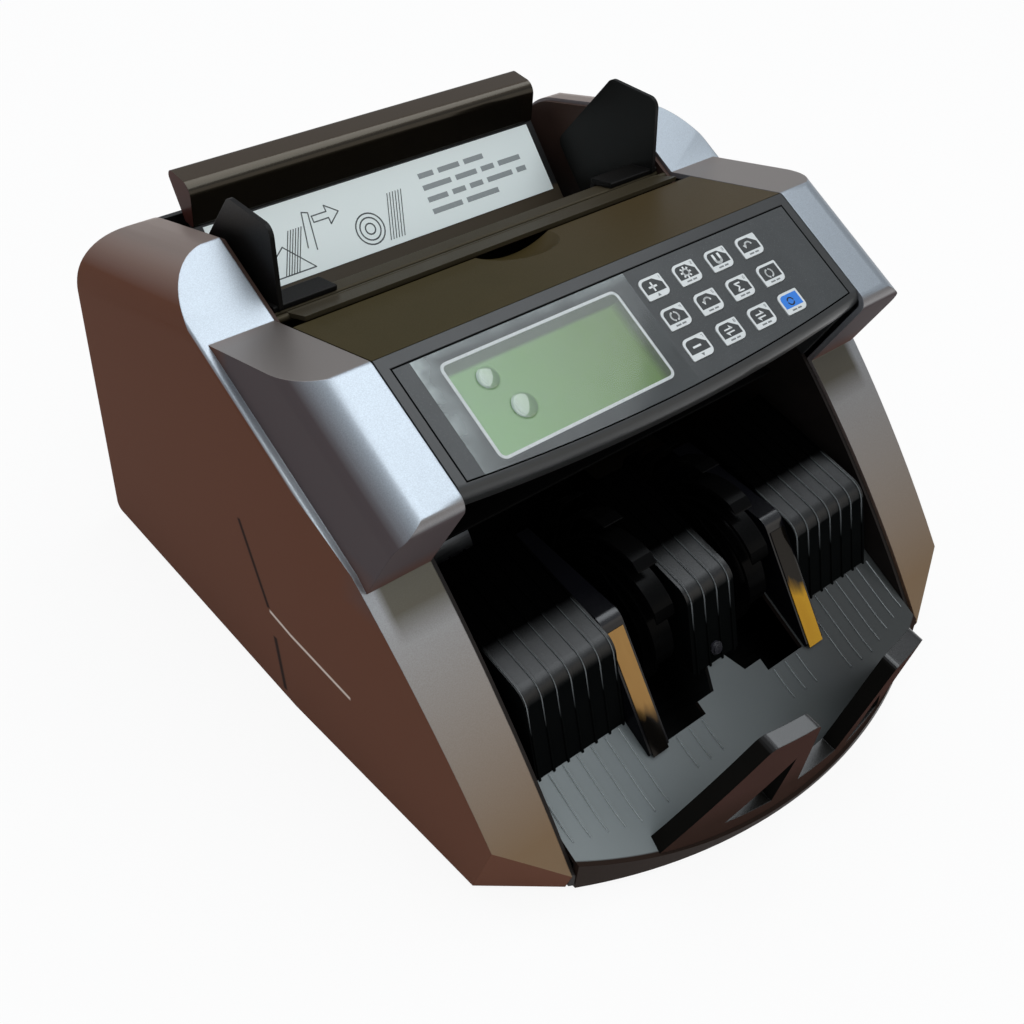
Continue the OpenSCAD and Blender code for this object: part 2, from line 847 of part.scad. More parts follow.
module key_places(grow) {
  for (j = [0 : 2], i = [0 : 3]) key_place(i, j) key_plan(grow);
}

module key_place(i, j) {
  translate([key_x + i * key_pitch_x, key_v - j * key_pitch_v]) children();
}

module key_plan(grow) {
  w = key_w / 2 + grow;
  h = key_h / 2 + grow;
  soft_polygon([[-w, -h], [w, -h], [w, h], [-w, h]], [0.6, key_round + grow, 0.6, key_round + grow]);
}

module window_plan(grow) {
  translate([window_left - grow, window_low - grow]) square([window_w + 2 * grow, window_h + 2 * grow]);
}

plate_low = overlay_seat + bezel_wall;
skirt_low = band_drop + frame_inset - fit_gap;

module panel_bezel() {
  color("#2c2e2e")
    on_panel() {
      difference() {
        intersection() {
          translate([-panel_half, -far / 2, -bezel_h]) cube([2 * panel_half, far / 2 + panel_top, bezel_h]);
          translate([0, panel_bow - panel_low, 0]) rotate_extrude($fn = 2 * fine)
            soft_polygon([[0, -bezel_h], [panel_bow, -bezel_h], [panel_bow, 0], [0, 0]], [0, 3, lip_round, 0]);
        }
        translate([0, 0, -overlay_seat]) linear_extrude(2)
          panel_plan(overlay_half, overlay_top, overlay_low, panel_bow, overlay_gap);
        translate([0, 0, -bezel_h - 1]) linear_extrude(bezel_h - plate_low + 1)
          panel_plan(panel_half - bezel_wall, panel_top - bezel_wall, panel_low - bezel_wall - 2, panel_bow, 0);
        translate([0, 0, -bezel_h]) linear_extrude(bezel_h + 1) window_plan(0);
        translate([0, 0, -bezel_h]) linear_extrude(bezel_h + 1) key_places(key_gap);
      }
      both_sides()
        translate([panel_half - bezel_wall, -panel_top, -skirt_low])
          cube([bezel_wall, 2 * panel_top, skirt_low - bezel_h + eps]);
    }
}

module panel_overlay() {
  color("#3a3d3d")
    on_panel() translate([0, 0, -overlay_seat]) linear_extrude(overlay_t)
      difference() {
        panel_plan(overlay_half, overlay_top, overlay_low, panel_bow, 0);
        window_plan(0);
        key_places(key_gap);
      }
}

module display_module() {
  color("#82a078")
    on_panel() translate([0, 0, -plate_low - display_t]) linear_extrude(display_t) window_plan(display_border);
}

module display_film() {
  color("#d0d8d8")
    on_panel() translate([0, 0, -overlay_seat + overlay_t]) linear_extrude(film_t) window_plan(film_margin);
}

key_foot = plate_low - 0.3;

module key_pad(i, j) {
  color("#1c1d1f")
    on_panel() translate([0, 0, -key_foot]) linear_extrude(key_foot + key_proud)
      key_place(i, j) key_plan(0);
}

module key_1() { key_pad(0, 0); }
module key_2() { key_pad(1, 0); }
module key_3() { key_pad(2, 0); }
module key_4() { key_pad(3, 0); }
module key_5() { key_pad(0, 1); }
module key_6() { key_pad(1, 1); }
module key_7() { key_pad(2, 1); }
module key_8() { key_pad(3, 1); }
module key_9() { key_pad(0, 2); }
module key_10() { key_pad(1, 2); }
module key_11() { key_pad(2, 2); }
module key_12() { key_pad(3, 2); }

module key_board() {
  border = 2;
  top = key_foot + key_stroke + 0.2;
  color("darkgreen")
    on_panel()
      translate([key_x - key_w / 2 - border, key_v - 2 * key_pitch_v - key_h / 2 - border, -top - board_t])
        cube([3 * key_pitch_x + key_w + 2 * border, 2 * key_pitch_v + key_h + 2 * border, board_t]);
}

// head
dish_y = flap_y - lid_gap;

module head_cover() {
  front_p = panel_p + (panel_top + fit_gap) * along;
  under = brow_p - head_wall * [sin(brow_fall), cos(brow_fall)];
  back = flap_y - lid_gap;
  dish_c = [dish_y + (dish_r - dish_depth) * sin(brow_fall), brow_z(dish_y) + (dish_r - dish_depth) * cos(brow_fall)];
  color("#2a2520")
    difference() {
      union() {
        across(-panel_half, panel_half)
          polygon([
            meet(front_p, tilt + 90, brow_p, -brow_fall),
            [back, brow_z(back)],
            [back, line_z(under, -brow_fall, back)],
            meet(front_p, tilt + 90, under, -brow_fall)]);
        intersection() {
          translate([0, dish_c[0], dish_c[1]]) sphere(r = dish_r + head_wall);
          across(-panel_half / 2, panel_half / 2)
            polygon([
              [back - dish_r, brow_z(back - dish_r) - eps],
              [back, brow_z(back) - eps],
              [back, brow_z(back) - dish_r],
              [back - dish_r, brow_z(back) - dish_r]]);
        }
        both_sides()
          across(panel_half - bezel_wall, panel_half)
            polygon([
              meet(front_p, tilt + 90, under, -brow_fall),
              [back, line_z(under, -brow_fall, back) + eps],
              [back, line_z(band_p + (frame_inset - fit_gap) * inward, tilt, back)],
              front_p + skirt_low * inward]);
      }
      translate([0, dish_c[0], dish_c[1]]) sphere(r = dish_r);
    }
}

module feed_flap() {
  under = brow_p - flap_t * [sin(brow_fall), cos(brow_fall)];
  color("#332c26") {
    across(-flap_half, flap_half)
      translate(pin_c) rotate(-flap_rest) translate(-pin_c) {
        polygon([
          [flap_y, brow_z(flap_y)],
          [flap_back, brow_z(flap_back)],
          [flap_back, line_z(under, -brow_fall, flap_back)],
          [flap_y, line_z(under, -brow_fall, flap_y)]]);
        translate(pin_c) circle(pin_r + 0.3);
      }
    both_sides() across(flap_half - eps, frame_out - 0.2) translate(pin_c) circle(pin_r);
  }
}

module hopper_rail() {
  color("#2a2520")
    across(-span, span)
      soft_polygon([
        [rail_y, brow_z(rail_y)],
        [rail_y, brow_z(rail_y) - rail_h],
        [rail_back - rail_wall, brow_z(rail_back) - rail_h],
        [rail_back - rail_wall, upper_z + sheet_t + fit_gap],
        [rail_back, upper_z + sheet_t + fit_gap],
        [rail_back, brow_z(rail_back)]],
        [1, 1, 0, 0, 0, 1.5]);
}

// note guide with the foot that rides on the rail
module note_guide() {
  foot_y = rail_y + guide_gap;
  foot_z = brow_z(rail_y) + guide_foot_h;
  heel_z = brow_z(rail_back) + guide_foot_h;
  hook = 1.5 * guide_t;
  top = brow_z(rail_y) + guide_h;
  across(guide_x - guide_t, guide_x)
    soft_polygon([
      [foot_y - guide_t / 2, foot_z - guide_t],
      [foot_y + hook, top],
      [foot_y + hook + guide_top_d, top - guide_t / 2],
      [foot_y + guide_back, top - guide_tail],
      [foot_y + guide_back - guide_slant, top - guide_deep],
      [rail_back + hook, top - guide_deep + guide_step],
      [rail_back + hook, heel_z - guide_t]],
      [guide_t / 2, guide_round, guide_round, guide_round, guide_round, guide_round / 2, 0]);
  across(guide_x + guide_t - guide_foot, guide_x + guide_t)
    soft_polygon([
      [foot_y, brow_z(foot_y) + guide_gap],
      [foot_y, foot_z],
      [rail_back + hook, heel_z],
      [rail_back + hook, brow_z(rail_back) - rail_h],
      [rail_back + guide_gap, brow_z(rail_back) - rail_h],
      [rail_back + guide_gap, brow_z(rail_back) + guide_gap]],
      [0, guide_t / 3, 0, guide_t / 4, 0, 0]);
}

module right_guide() {
  color("#141414") note_guide();
}

module left_guide() {
  color("#141414") mirror([1, 0, 0]) note_guide();
}

// hopper
plate_foot = path_z + fit_gap;

module hopper_plate() {
  low_y = hopper_y - (hopper_z - plate_foot) / tan(hopper_lean);
  deep = hopper_t / sin(hopper_lean);
  color("#1a1a1a") {
    difference() {
      across(-hopper_half, hopper_half)
        polygon([
          [low_y, plate_foot],
          [hopper_y, hopper_z],
          [hopper_y + deep, hopper_z],
          [low_y + deep, plate_foot]]);
      both_sides()
        across(roller_x - roller_gap, roller_x + roller_w + roller_gap)
          translate(pick_c) circle(pick_r + roller_gap);
    }
    both_sides()
      on_hopper() translate([hopper_half - eps, -pick_down - 20, -hopper_t]) cube([span - hopper_half, 10, hopper_t]);
  }
}

module hopper_bar() {
  base = hopper_z + 0.1;
  color("#0c0c0c")
    across(-hopper_half, hopper_half)
      soft_polygon([
        [hopper_y - 0.3, base],
        [hopper_y - 0.3, base + bar_h],
        [hopper_y + bar_d, base + bar_h + bar_rise],
        [hopper_y + hopper_t / sin(hopper_lean) + 2.5, base]],
        [1, bar_round, bar_round / 2, 1]);
}

label_t = 0.3;
label_edge = 4;
label_top = 1;

module hopper_label() {
  color("#dfe6e4")
    on_hopper()
      translate([-hopper_half + label_edge, -pick_down + pick_r, 0])
        cube([2 * (hopper_half - label_edge), pick_down - pick_r - label_top, label_t]);
}

// feed
module shaft(c, x0, x1) {
  across(x0, x1) translate(c) circle(shaft_r);
}

module roller_pair(c, r) {
  both_sides()
    across(roller_x, roller_x + roller_w)
      translate(c) difference() {
        circle(r);
        circle(shaft_r + shaft_fit);
      }
}

module pickup_shaft() {
  color("lightgray") {
    shaft(pick_c, lane_2 - lane_w, frame_out);
    pulley(pick_c, small_pulley_r, lane_2);
  }
}

module pickup_rollers() {
  color("#303030") roller_pair(pick_c, pick_r);
}

module feed_shaft() {
  color("lightgray") {
    shaft(feed_c, lane_3 - lane_w, frame_out);
    pulley(feed_c, feed_pulley_r, lane_1);
    pulley(feed_c, small_pulley_r, lane_2);
    pulley(feed_c, small_pulley_r, lane_3);
  }
}

module feed_rollers() {
  color("#303030") roller_pair(feed_c, feed_r);
}

path_front = block_back + fit_gap;
path_back = hopper_y - (hopper_z - path_z) / tan(hopper_lean);

module path_plate() {
  color("#181818")
    difference() {
      translate([-span, path_front, path_z - sheet_t]) cube([2 * span, path_back - path_front, sheet_t]);
      both_sides()
        across(roller_x - roller_gap, roller_x + roller_w + roller_gap)
          translate(feed_c) circle(feed_r + roller_gap);
    }
}

module upper_guide() {
  lip = panel_p - (panel_low - 8) * along + (bezel_h + 4) * inward;
  turn = [-8, upper_z];
  half = panel_half - bezel_wall - fit_gap;
  up = sheet_t / cos(atan2(lip[1] - turn[1], turn[0] - lip[0]));
  color("#181818")
    across(-half, half)
      polygon([
        lip,
        turn,
        [rail_back, upper_z],
        [rail_back, upper_z + sheet_t],
        [turn[0] + 0.4, upper_z + sheet_t],
        lip + [0, up]]);
}

// stacker
module block_side(e) {
  front = block_p + e * [-cos(block_lean), sin(block_lean)];
  top = block_edge + e * [-sin(block_top_fall), cos(block_top_fall)];
  edge = meet(front, block_dir, top, block_top_fall);
  toe = meet(front, block_dir, block_p, tilt);
  back = [block_back, line_z(top, block_top_fall, block_back)];
  polygon(concat([
    toe,
    [tray_back, tray_line(tray_back)],
    [tray_back + 2 * block_lift, block_sole],
    [block_back, block_sole],
    back],
    corner_steps(back, edge, toe, block_round + e, 8)));
}

module block(x0, x1) {
  across(x0, x1) difference() {
    block_side(0);
    translate(wheel_c) circle(shaft_r + 1);
  }
}

module block_ribs(x0, x1) {
  n = floor((x1 - x0 - rib_w) / rib_pitch);
  first = (x0 + x1 - n * rib_pitch) / 2;
  for (i = [0 : n])
    across(first + i * rib_pitch - rib_w / 2, first + i * rib_pitch + rib_w / 2)
      difference() {
        block_side(rib_h);
        translate(wheel_c) circle(shaft_r + 1);
      }
}

sensor_r = 3.2;
sensor_up = 7;

module at_sensor() {
  p = block_p + sensor_up * [sin(block_lean), cos(block_lean)];
  translate([0, p[0], p[1]]) rotate([90 - block_lean, 0, 0]) children();
}

// bar behind the wheels that joins the three blocks by their feet
tie_y = wheel_y + wheel_r + 2 * fit_gap;
tie_d = 5;
tie_h = 4;

module tie_foot(x0, x1, back) {
  across(x0, x1) translate([block_back - tie_d, block_sole]) square([back - block_back + tie_d, tie_h]);
}

module stacker_guide() {
  color("#161616")
    difference() {
      union() {
        both_sides() {
          block(slot_out + fin_w + seam, block_half);
          block_ribs(slot_out + fin_w + seam, block_half);
        }
        block(-slot_in, slot_in);
        block_ribs(-slot_in, slot_in);
        both_sides() tie_foot(slot_out + fin_w + seam, block_half, tie_y + tie_d);
        tie_foot(-slot_in, slot_in, tie_y + tie_d);
        across(-block_half, block_half) translate([tie_y, block_sole]) square([tie_d, tie_h]);
      }
      at_sensor() translate([0, 0, -4]) cylinder(r = sensor_r + 0.05, h = 12);
    }
}

module pocket_sensor() {
  color("#3a3a40")
    at_sensor() {
      translate([0, 0, -3.8]) cylinder(r = sensor_r, h = 5);
      translate([0, 0, 1.2 - eps]) cylinder(r = sensor_r - 0.8, h = 1);
    }
}

seam = 0.1;
fin_toe = [block_y - fin_d, tray_line(block_y - fin_d)];
fin_bend = block_p + [fin_bend_back, fin_bend_h];

module fin_side() {
  difference() {
    soft_polygon([
      fin_toe,
      fin_bend,
      [block_back, line_z(fin_bend, fin_top_fall, block_back)],
      [block_back, block_sole],
      [tray_back + 2 * block_lift, block_sole],
      [tray_back, tray_line(tray_back)]],
      [1, fin_round, 0, 0, 0, 0]);
    translate(wheel_c) circle(shaft_r + 1);
  }
}

module fin() {
  across(slot_out, slot_out + fin_w) fin_side();
}

module right_fin() {
  color("#0e0e0e") fin();
}

module left_fin() {
  color("#0e0e0e") mirror([1, 0, 0]) fin();
}

module strip() {
  way = fin_bend - fin_toe;
  edge = 1.2;
  translate([slot_out + edge, fin_toe[0], fin_toe[1]])
    rotate([atan2(way[1], way[0]), 0, 0])
      translate([0, 2 * edge, 0]) cube([fin_w - 2 * edge, norm(way) - fin_round, strip_t]);
}

module right_strip() {
  color("goldenrod") strip();
}

module left_strip() {
  color("goldenrod") mirror([1, 0, 0]) strip();
}

// wheel with curved vanes that leave the hub and end at the rim
module wheel_plan() {
  off = wheel_r * 0.36;
  difference() {
    union() {
      circle(hub_r);
      for (k = [0 : vanes - 1])
        rotate(k * 360 / vanes + vane_turn)
          intersection() {
            translate([off, 0]) difference() {
              circle(vane_r);
              circle(vane_r - vane_t);
            }
            circle(wheel_r);
            translate([-wheel_r, -wheel_r]) square([2 * wheel_r, wheel_r]);
          }
    }
    circle(shaft_r + shaft_fit);
  }
}

module wheel() {
  across(wheel_x - wheel_w / 2, wheel_x + wheel_w / 2) translate(wheel_c) wheel_plan();
}

module right_wheel() {
  color("#101012") wheel();
}

module left_wheel() {
  color("#101012") mirror([1, 0, 0]) wheel();
}

module stacker_shaft() {
  color("lightgray") {
    shaft(wheel_c, lane_3 - lane_w, frame_out);
    pulley(wheel_c, small_pulley_r, lane_3);
  }
}

// tray with notches, ribs and apron
notch_out = slot_out - 1;
notch_mid = 20;
notch_step = 6;
tongue = 10;
tongue_tip = 4;

module notch_plan() {
  back = tray_back - block_y + 10;
  polygon([
    [notch_out, -notch_d],
    [notch_out, back],
    [tongue_tip, back],
    [tongue_tip, 3],
    [tongue, notch_step - notch_d],
    [notch_mid, notch_step - notch_d],
    [notch_mid, -notch_d]]);
}

module tray_rib(x, y0, y1) {
  tip = 7;
  translate([x, 0, -eps]) linear_extrude(rib_h)
    polygon([[0, y0], [rib_w / 2, y0 + tip], [rib_w / 2, y1], [-rib_w / 2, y1], [-rib_w / 2, y0 + tip]]);
}

module tray_body() {
  drop = tray_t / cos(tilt);
  low = nose_y - 5;
  intersection() {
    translate([nose_c[0], nose_c[1], foot_h]) cylinder(r = nose_r, h = far, $fn = fine);
    union() {
      across(-span, span)
        polygon([
          [low, tray_line(low)],
          [tray_back, tray_line(tray_back)],
          [tray_back, tray_line(tray_back) - drop],
          [low, tray_line(low) - drop]]);
      difference() {
        across(-span, span)
          polygon([[low, foot_h], [block_y, foot_h], [block_y, tray_line(block_y) - drop / 2], [low, tray_line(low) - drop / 2]]);
        translate([nose_c[0], nose_c[1], 0]) cylinder(r = nose_r - tray_t, h = far, $fn = fine);
      }
    }
  }
}

side_ribs = 7;
front_rib_len = 15;

module stacker_tray() {
  color("#24272a") {
    difference() {
      tray_body();
      on_tray() both_sides() translate([0, 0, -2 * tray_t]) linear_extrude(4 * tray_t) notch_plan();
    }
    on_tray() both_sides() {
      for (i = [0 : side_ribs - 1])
        tray_rib(slot_out + fin_w + 4 + i * rib_pitch, -36 + 2.2 * max(0, i - 2), -0.5);
      for (i = [0 : 2])
        tray_rib(notch_mid + 3 + i * rib_pitch, -notch_d - front_rib_len - 1, -notch_d - 1);
    }
  }
}

// stop with two open wings on the curved edge of the tray
stop_root = -20;

wing_edge = [[stop_half, 4], [wing_out, stop_h - 1], [wing_in, stop_h], [stop_gap, stop_low]];

// what is cut from one half of the curved wall: all outside the wing, and the open triangle in it
module wing_cuts() {
  tall = stop_h + 10;
  polygon(concat(
    [[stop_half, stop_root - 1], wing_edge[0]],
    corner_steps(wing_edge[0], wing_edge[1], wing_edge[2], wing_round, 5),
    corner_steps(wing_edge[1], wing_edge[2], wing_edge[3], wing_round / 2, 5),
    [wing_edge[3], [-1, stop_low], [-1, tall], [2 * stop_half, tall], [2 * stop_half, stop_root - 1]]));
  polygon([
    [stop_gap + 12, stop_low - 7],
    [stop_half - 28, stop_low - 5],
    [wing_in + 3, stop_h - 22]]);
}

// the stop standing upright, its outer face at the front and its foot at height 0
module stop_upright() {
  r = nose_r - stop_back;
  turn = asin(stop_half / r) + 3;
  deep = 60;
  difference() {
    translate([0, r, 0]) rotate([0, 0, -90 - turn])
      rotate_extrude(angle = 2 * turn, $fn = fine)
        translate([r - stop_t, stop_root]) square([stop_t, stop_h + 1 - stop_root]);
    both_sides() translate([0, deep, 0]) rotate([90, 0, 0]) linear_extrude(2 * deep) wing_cuts();
  }
}

module front_stop() {
  reach = 50;
  color("#191512")
    difference() {
      translate([0, nose_y + stop_back, foot_h]) rotate([stop_lean, 0, 0]) stop_upright();
      across(-2 * stop_half, 2 * stop_half)
        polygon([
          [nose_y - reach, tray_line(nose_y - reach)],
          [nose_y + reach, tray_line(nose_y + reach)],
          [nose_y + reach, -reach],
          [nose_y - reach, -reach]]);
    }
}

// drive
module main_motor() {
  color("slategray")
    difference() {
      union() {
        across(-frame_in + 0.1, -frame_in + motor_l) translate(motor_c) circle(motor_r);
        across(-frame_in + 0.1, -frame_in + 3)
          translate(motor_c) square([2 * motor_r + 6, 2 * motor_r - 8], center = true);
        across(-frame_in + 10, -frame_in + motor_l - 8)
          translate([motor_y, (base_top + motor_z) / 2 + 0.05]) square([motor_r, motor_z - base_top - 0.1], center = true);
      }
      across(-frame_in - 1, -frame_in + 14) translate(motor_c) circle(motor_shaft_r + shaft_fit);
    }
}

module motor_pulley() {
  color("lightgray") {
    across(lane_1 - lane_w, -frame_in + 13) translate(motor_c) circle(motor_shaft_r);
    pulley(motor_c, motor_pulley_r, lane_1);
  }
}

module motor_belt() {
  color("#202020") belt(motor_c, motor_pulley_r, feed_c, feed_pulley_r, lane_1);
}

module pickup_belt() {
  color("#202020") belt(feed_c, small_pulley_r, pick_c, small_pulley_r, lane_2);
}

module stacker_belt() {
  color("#202020") belt(wheel_c, small_pulley_r, feed_c, small_pulley_r, lane_3);
}

module transformer() {
  bulge = coil_d / 7;
  color("#8a6a3a")
    translate([coil_x, coil_y, base_top]) {
      cube([coil_w, coil_d, coil_h]);
      translate([coil_w / 5, -bulge, coil_h / 6]) cube([coil_w * 0.6, coil_d + 2 * bulge, coil_h * 2 / 3]);
    }
}

module main_board() {
  post_r = board_lift / 2;
  cap_r = board_w / 22;
  top = board_lift + board_t - eps;
  color("darkgreen")
    translate([board_x, board_y, base_top]) {
      translate([0, 0, board_lift]) cube([board_w, board_d, board_t]);
      for (x = [2 * post_r, board_w - 2 * post_r], y = [2 * post_r, board_d - 2 * post_r])
        translate([x, y, 0]) cylinder(r = post_r, h = board_lift + eps);
      translate([board_w / 6, board_d / 6, top]) cube([board_w / 5, board_w / 5, board_lift / 2]);
      translate([board_w / 2, board_d / 7, top]) cube([board_w / 4, board_d / 6, board_lift]);
      for (i = [0 : 2])
        translate([board_w / 2 + 2.6 * i * cap_r, board_d * 2 / 3, top]) cylinder(r = cap_r, h = 3 * cap_r);
    }
}

home() base_plate();
home() rubber_feet();
home() left_frame();
home() right_frame();
home() left_cover();
home() right_cover();
home() rear_panel();
home() power_inlet();
home() power_rocker();
home() cover_screws();
home() panel_bezel();
home() head_cover();
home() panel_overlay();
home() display_module();
home() display_film();
home() key_1();
home() key_2();
home() key_3();
home() key_4();
home() key_5();
home() key_6();
home() key_7();
home() key_8();
home() key_9();
home() key_10();
home() key_11();
home() key_12();
home() key_board();
home() hopper_plate();
home() hopper_bar();
home() hopper_label();
home() hopper_rail();
home() left_guide();
home() right_guide();
home() feed_flap();
home() pickup_shaft();
home() pickup_rollers();
home() feed_shaft();
home() feed_rollers();
home() path_plate();
home() upper_guide();
home() stacker_guide();
home() left_fin();
home() right_fin();
home() left_strip();
home() right_strip();
home() stacker_shaft();
home() left_wheel();
home() right_wheel();
home() stacker_tray();
home() front_stop();
home() pocket_sensor();
home() main_board();
home() transformer();
home() main_motor();
home() motor_pulley();
home() motor_belt();
home() pickup_belt();
home() stacker_belt();
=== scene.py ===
# Banknote counter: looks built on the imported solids, in metres, front towards -Y.
import json
import math

import bmesh
import bpy
import numpy as np
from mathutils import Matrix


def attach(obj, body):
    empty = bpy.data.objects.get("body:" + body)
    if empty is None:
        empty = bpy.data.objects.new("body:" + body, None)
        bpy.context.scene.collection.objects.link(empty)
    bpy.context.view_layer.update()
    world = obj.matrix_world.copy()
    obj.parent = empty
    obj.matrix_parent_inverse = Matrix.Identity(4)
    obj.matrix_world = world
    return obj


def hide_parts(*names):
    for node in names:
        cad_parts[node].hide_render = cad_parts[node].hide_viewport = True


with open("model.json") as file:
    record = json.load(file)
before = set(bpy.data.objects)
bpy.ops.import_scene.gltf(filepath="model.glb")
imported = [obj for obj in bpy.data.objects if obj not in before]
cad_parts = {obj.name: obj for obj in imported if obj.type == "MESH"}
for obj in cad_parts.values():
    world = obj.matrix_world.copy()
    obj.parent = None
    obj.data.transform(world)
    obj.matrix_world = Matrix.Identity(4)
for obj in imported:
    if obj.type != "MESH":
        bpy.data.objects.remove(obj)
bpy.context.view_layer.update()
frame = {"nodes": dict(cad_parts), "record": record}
nodes = frame["nodes"]
body_of = {node: body for body, members in frame["record"]["behaviour"]["bodies"].items() for node in members}
scene = bpy.context.scene
MM = 0.001

# The view. A phone camera held high at the left front of the machine,
# in a pale room with one wide window high on the right.
image_width = 1024
focal_pixels = 1280.8
sensor_width = 36.0
near_limit = 0.01
eye = (-0.32595, -0.30775, 0.44623)
eye_turn = (47.930, -3.746, -40.352)


def placed(name, data):
    """A new object in the scene that shows data."""
    thing = bpy.data.objects.new(name, data)
    scene.collection.objects.link(thing)
    return thing


camera = bpy.data.cameras.new("view")
camera.sensor_width = sensor_width
camera.lens = sensor_width * focal_pixels / image_width
camera.clip_start = near_limit
viewer = placed("view", camera)
viewer.location = eye
viewer.rotation_euler = [math.radians(angle) for angle in eye_turn]
scene.camera = viewer
scene.view_settings.view_transform = "Standard"
lamp_aim = (0.0, 0.0, 0.1)


def lamp(name, place, size, power, colour):
    """A rectangular soft lamp at place, turned so that its face looks at the aim."""
    light = bpy.data.lights.new(name, "AREA")
    light.shape = "RECTANGLE"
    light.size, light.size_y = size
    light.energy = power
    light.color = colour
    holder = placed(name, light)
    holder.location = place
    x, y, z = np.subtract(lamp_aim, place)
    holder.rotation_euler = (math.atan2(math.hypot(x, y), -z), 0.0, math.atan2(y, x) - math.pi / 2)


lamp("window", (0.44, -0.28, 1.70), size=(2.7, 1.15), power=20.0, colour=(0.91, 0.96, 1.0))
lamp("ceiling", (-0.3, 1.2, 1.5), size=(1.6, 1.0), power=6.0, colour=(0.97, 0.97, 1.0))
lamp("room", (0.7, -1.6, 0.7), size=(1.8, 1.0), power=2.5, colour=(1.0, 0.88, 0.72))

room_light = (0.82, 0.86, 0.92, 1.0)
room_strength = 0.38
world = bpy.data.worlds.new("room")
world.use_nodes = True
scene.world = world
glow = world.node_tree.nodes["Background"]
glow.inputs["Color"].default_value = room_light
glow.inputs["Strength"].default_value = room_strength

# The floor. A plain pale ground that glows white to the eye and in mirrors,
# and keeps a little of the machine's shadow.
floor_half = 4.0
floor_pale = (0.9, 0.89, 0.88, 1.0)
floor_roughness = 0.9
floor_white = (1.0, 1.0, 1.0, 1.0)
floor_glow = 0.92


def calc(operation, first, *others):
    """Math on an output: each further output or number is taken in by a node of its own, in turn."""
    tree = first.id_data
    for other in others or (None,):
        node = tree.nodes.new("ShaderNodeMath")
        node.operation = operation
        tree.links.new(first, node.inputs[0])
        if isinstance(other, float):
            node.inputs[1].default_value = other
        elif other is not None:
            tree.links.new(other, node.inputs[1])
        first = node.outputs["Value"]
    return first


def layered(amount, below, above):
    """One shader laid over another by amount."""
    tree = amount.id_data
    node = tree.nodes.new("ShaderNodeMixShader")
    for socket, output in zip(node.inputs, (amount, below, above)):
        tree.links.new(output, socket)
    return node.outputs["Shader"]


square = np.array([(-1.0, -1.0, 0.0), (1.0, -1.0, 0.0), (1.0, 1.0, 0.0), (-1.0, 1.0, 0.0)])
floor_mesh = bpy.data.meshes.new("floor")
floor_mesh.from_pydata((floor_half * square).tolist(), [], [(0, 1, 2, 3)])
floor = placed("floor", floor_mesh)
floor_finish = bpy.data.materials.new("pale floor")
floor_finish.use_nodes = True
tree = floor_finish.node_tree
matt = tree.nodes["Principled BSDF"]
matt.inputs["Base Color"].default_value = floor_pale
matt.inputs["Roughness"].default_value = floor_roughness
lit = tree.nodes.new("ShaderNodeEmission")
lit.inputs["Color"].default_value = floor_white
ray = tree.nodes.new("ShaderNodeLightPath").outputs
seen = calc("MAXIMUM", ray["Is Camera Ray"], ray["Is Glossy Ray"], ray["Is Transmission Ray"])
covered = layered(calc("MULTIPLY", seen, floor_glow), matt.outputs["BSDF"], lit.outputs["Emission"])
tree.links.new(covered, tree.nodes["Material Output"].inputs["Surface"])
floor_mesh.materials.append(floor_finish)


# Base plate and feet. A folded zinc plated floor with a row of air slots and two bent lips
# at its front corners; four turned rubber feet are pushed through it from below.
usual_specular = 0.5
noise_span = (0.3, 0.7)
cloud_size = 18.0 * MM
streak_size = 30.0 * MM
streak_stretch = (1.0, 40.0, 40.0)


def new_finish(name, roughness, metallic=0.0, specular=usual_specular, coat=0.0, coat_roughness=0.1):
    """A principled finish whose constant numbers stand on the shader's own sockets."""
    finish = bpy.data.materials.new(name)
    finish.use_nodes = True
    tree = finish.node_tree
    shader = tree.nodes["Principled BSDF"]
    shader.inputs["Roughness"].default_value = roughness
    shader.inputs["Metallic"].default_value = metallic
    shader.inputs["Specular IOR Level"].default_value = specular
    shader.inputs["Coat Weight"].default_value = coat
    shader.inputs["Coat Roughness"].default_value = coat_roughness
    return finish, tree, shader


def opened(finish):
    """A finish made above: its node tree, its shader and the colour that feeds the shader so far."""
    tree = finish.node_tree
    shader = tree.nodes["Principled BSDF"]
    return tree, shader, shader.inputs["Base Color"].links[0].from_socket


def wire(shader, socket, output):
    """Lets an output drive one socket of a shader."""
    shader.id_data.links.new(output, shader.inputs[socket])


def grain(tree, size, detail=2.0, stretch=(1.0, 1.0, 1.0)):
    """Noise with cells about size metres across, read from the piece's own coordinates."""
    place = tree.nodes.new("ShaderNodeTexCoord")
    spread = tree.nodes.new("ShaderNodeMapping")
    spread.inputs["Scale"].default_value = stretch
    noise = tree.nodes.new("ShaderNodeTexNoise")
    noise.inputs["Scale"].default_value = 1.0 / size
    noise.inputs["Detail"].default_value = detail
    tree.links.new(place.outputs["Object"], spread.inputs["Vector"])
    tree.links.new(spread.outputs["Vector"], noise.inputs["Vector"])
    return noise.outputs["Fac"]


def ranged(value, low, high, start=0.0, end=1.0):
    """Maps value from low..high to start..end and holds it there."""
    tree = value.id_data
    node = tree.nodes.new("ShaderNodeMapRange")
    node.inputs["From Min"].default_value = low
    node.inputs["From Max"].default_value = high
    node.inputs["To Min"].default_value = start
    node.inputs["To Max"].default_value = end
    tree.links.new(value, node.inputs["Value"])
    return node.outputs["Result"]


def blended(amount, first, second):
    """Colour that goes from first to second with amount; each is a colour or another colour output."""
    tree = amount.id_data
    node = tree.nodes.new("ShaderNodeMix")
    node.data_type = "RGBA"
    tree.links.new(amount, node.inputs["Factor"])
    for socket, colour in ((node.inputs[6], first), (node.inputs[7], second)):
        if isinstance(colour, tuple):
            socket.default_value = colour + (1.0,)
        else:
            tree.links.new(colour, socket)
    return node.outputs[2]


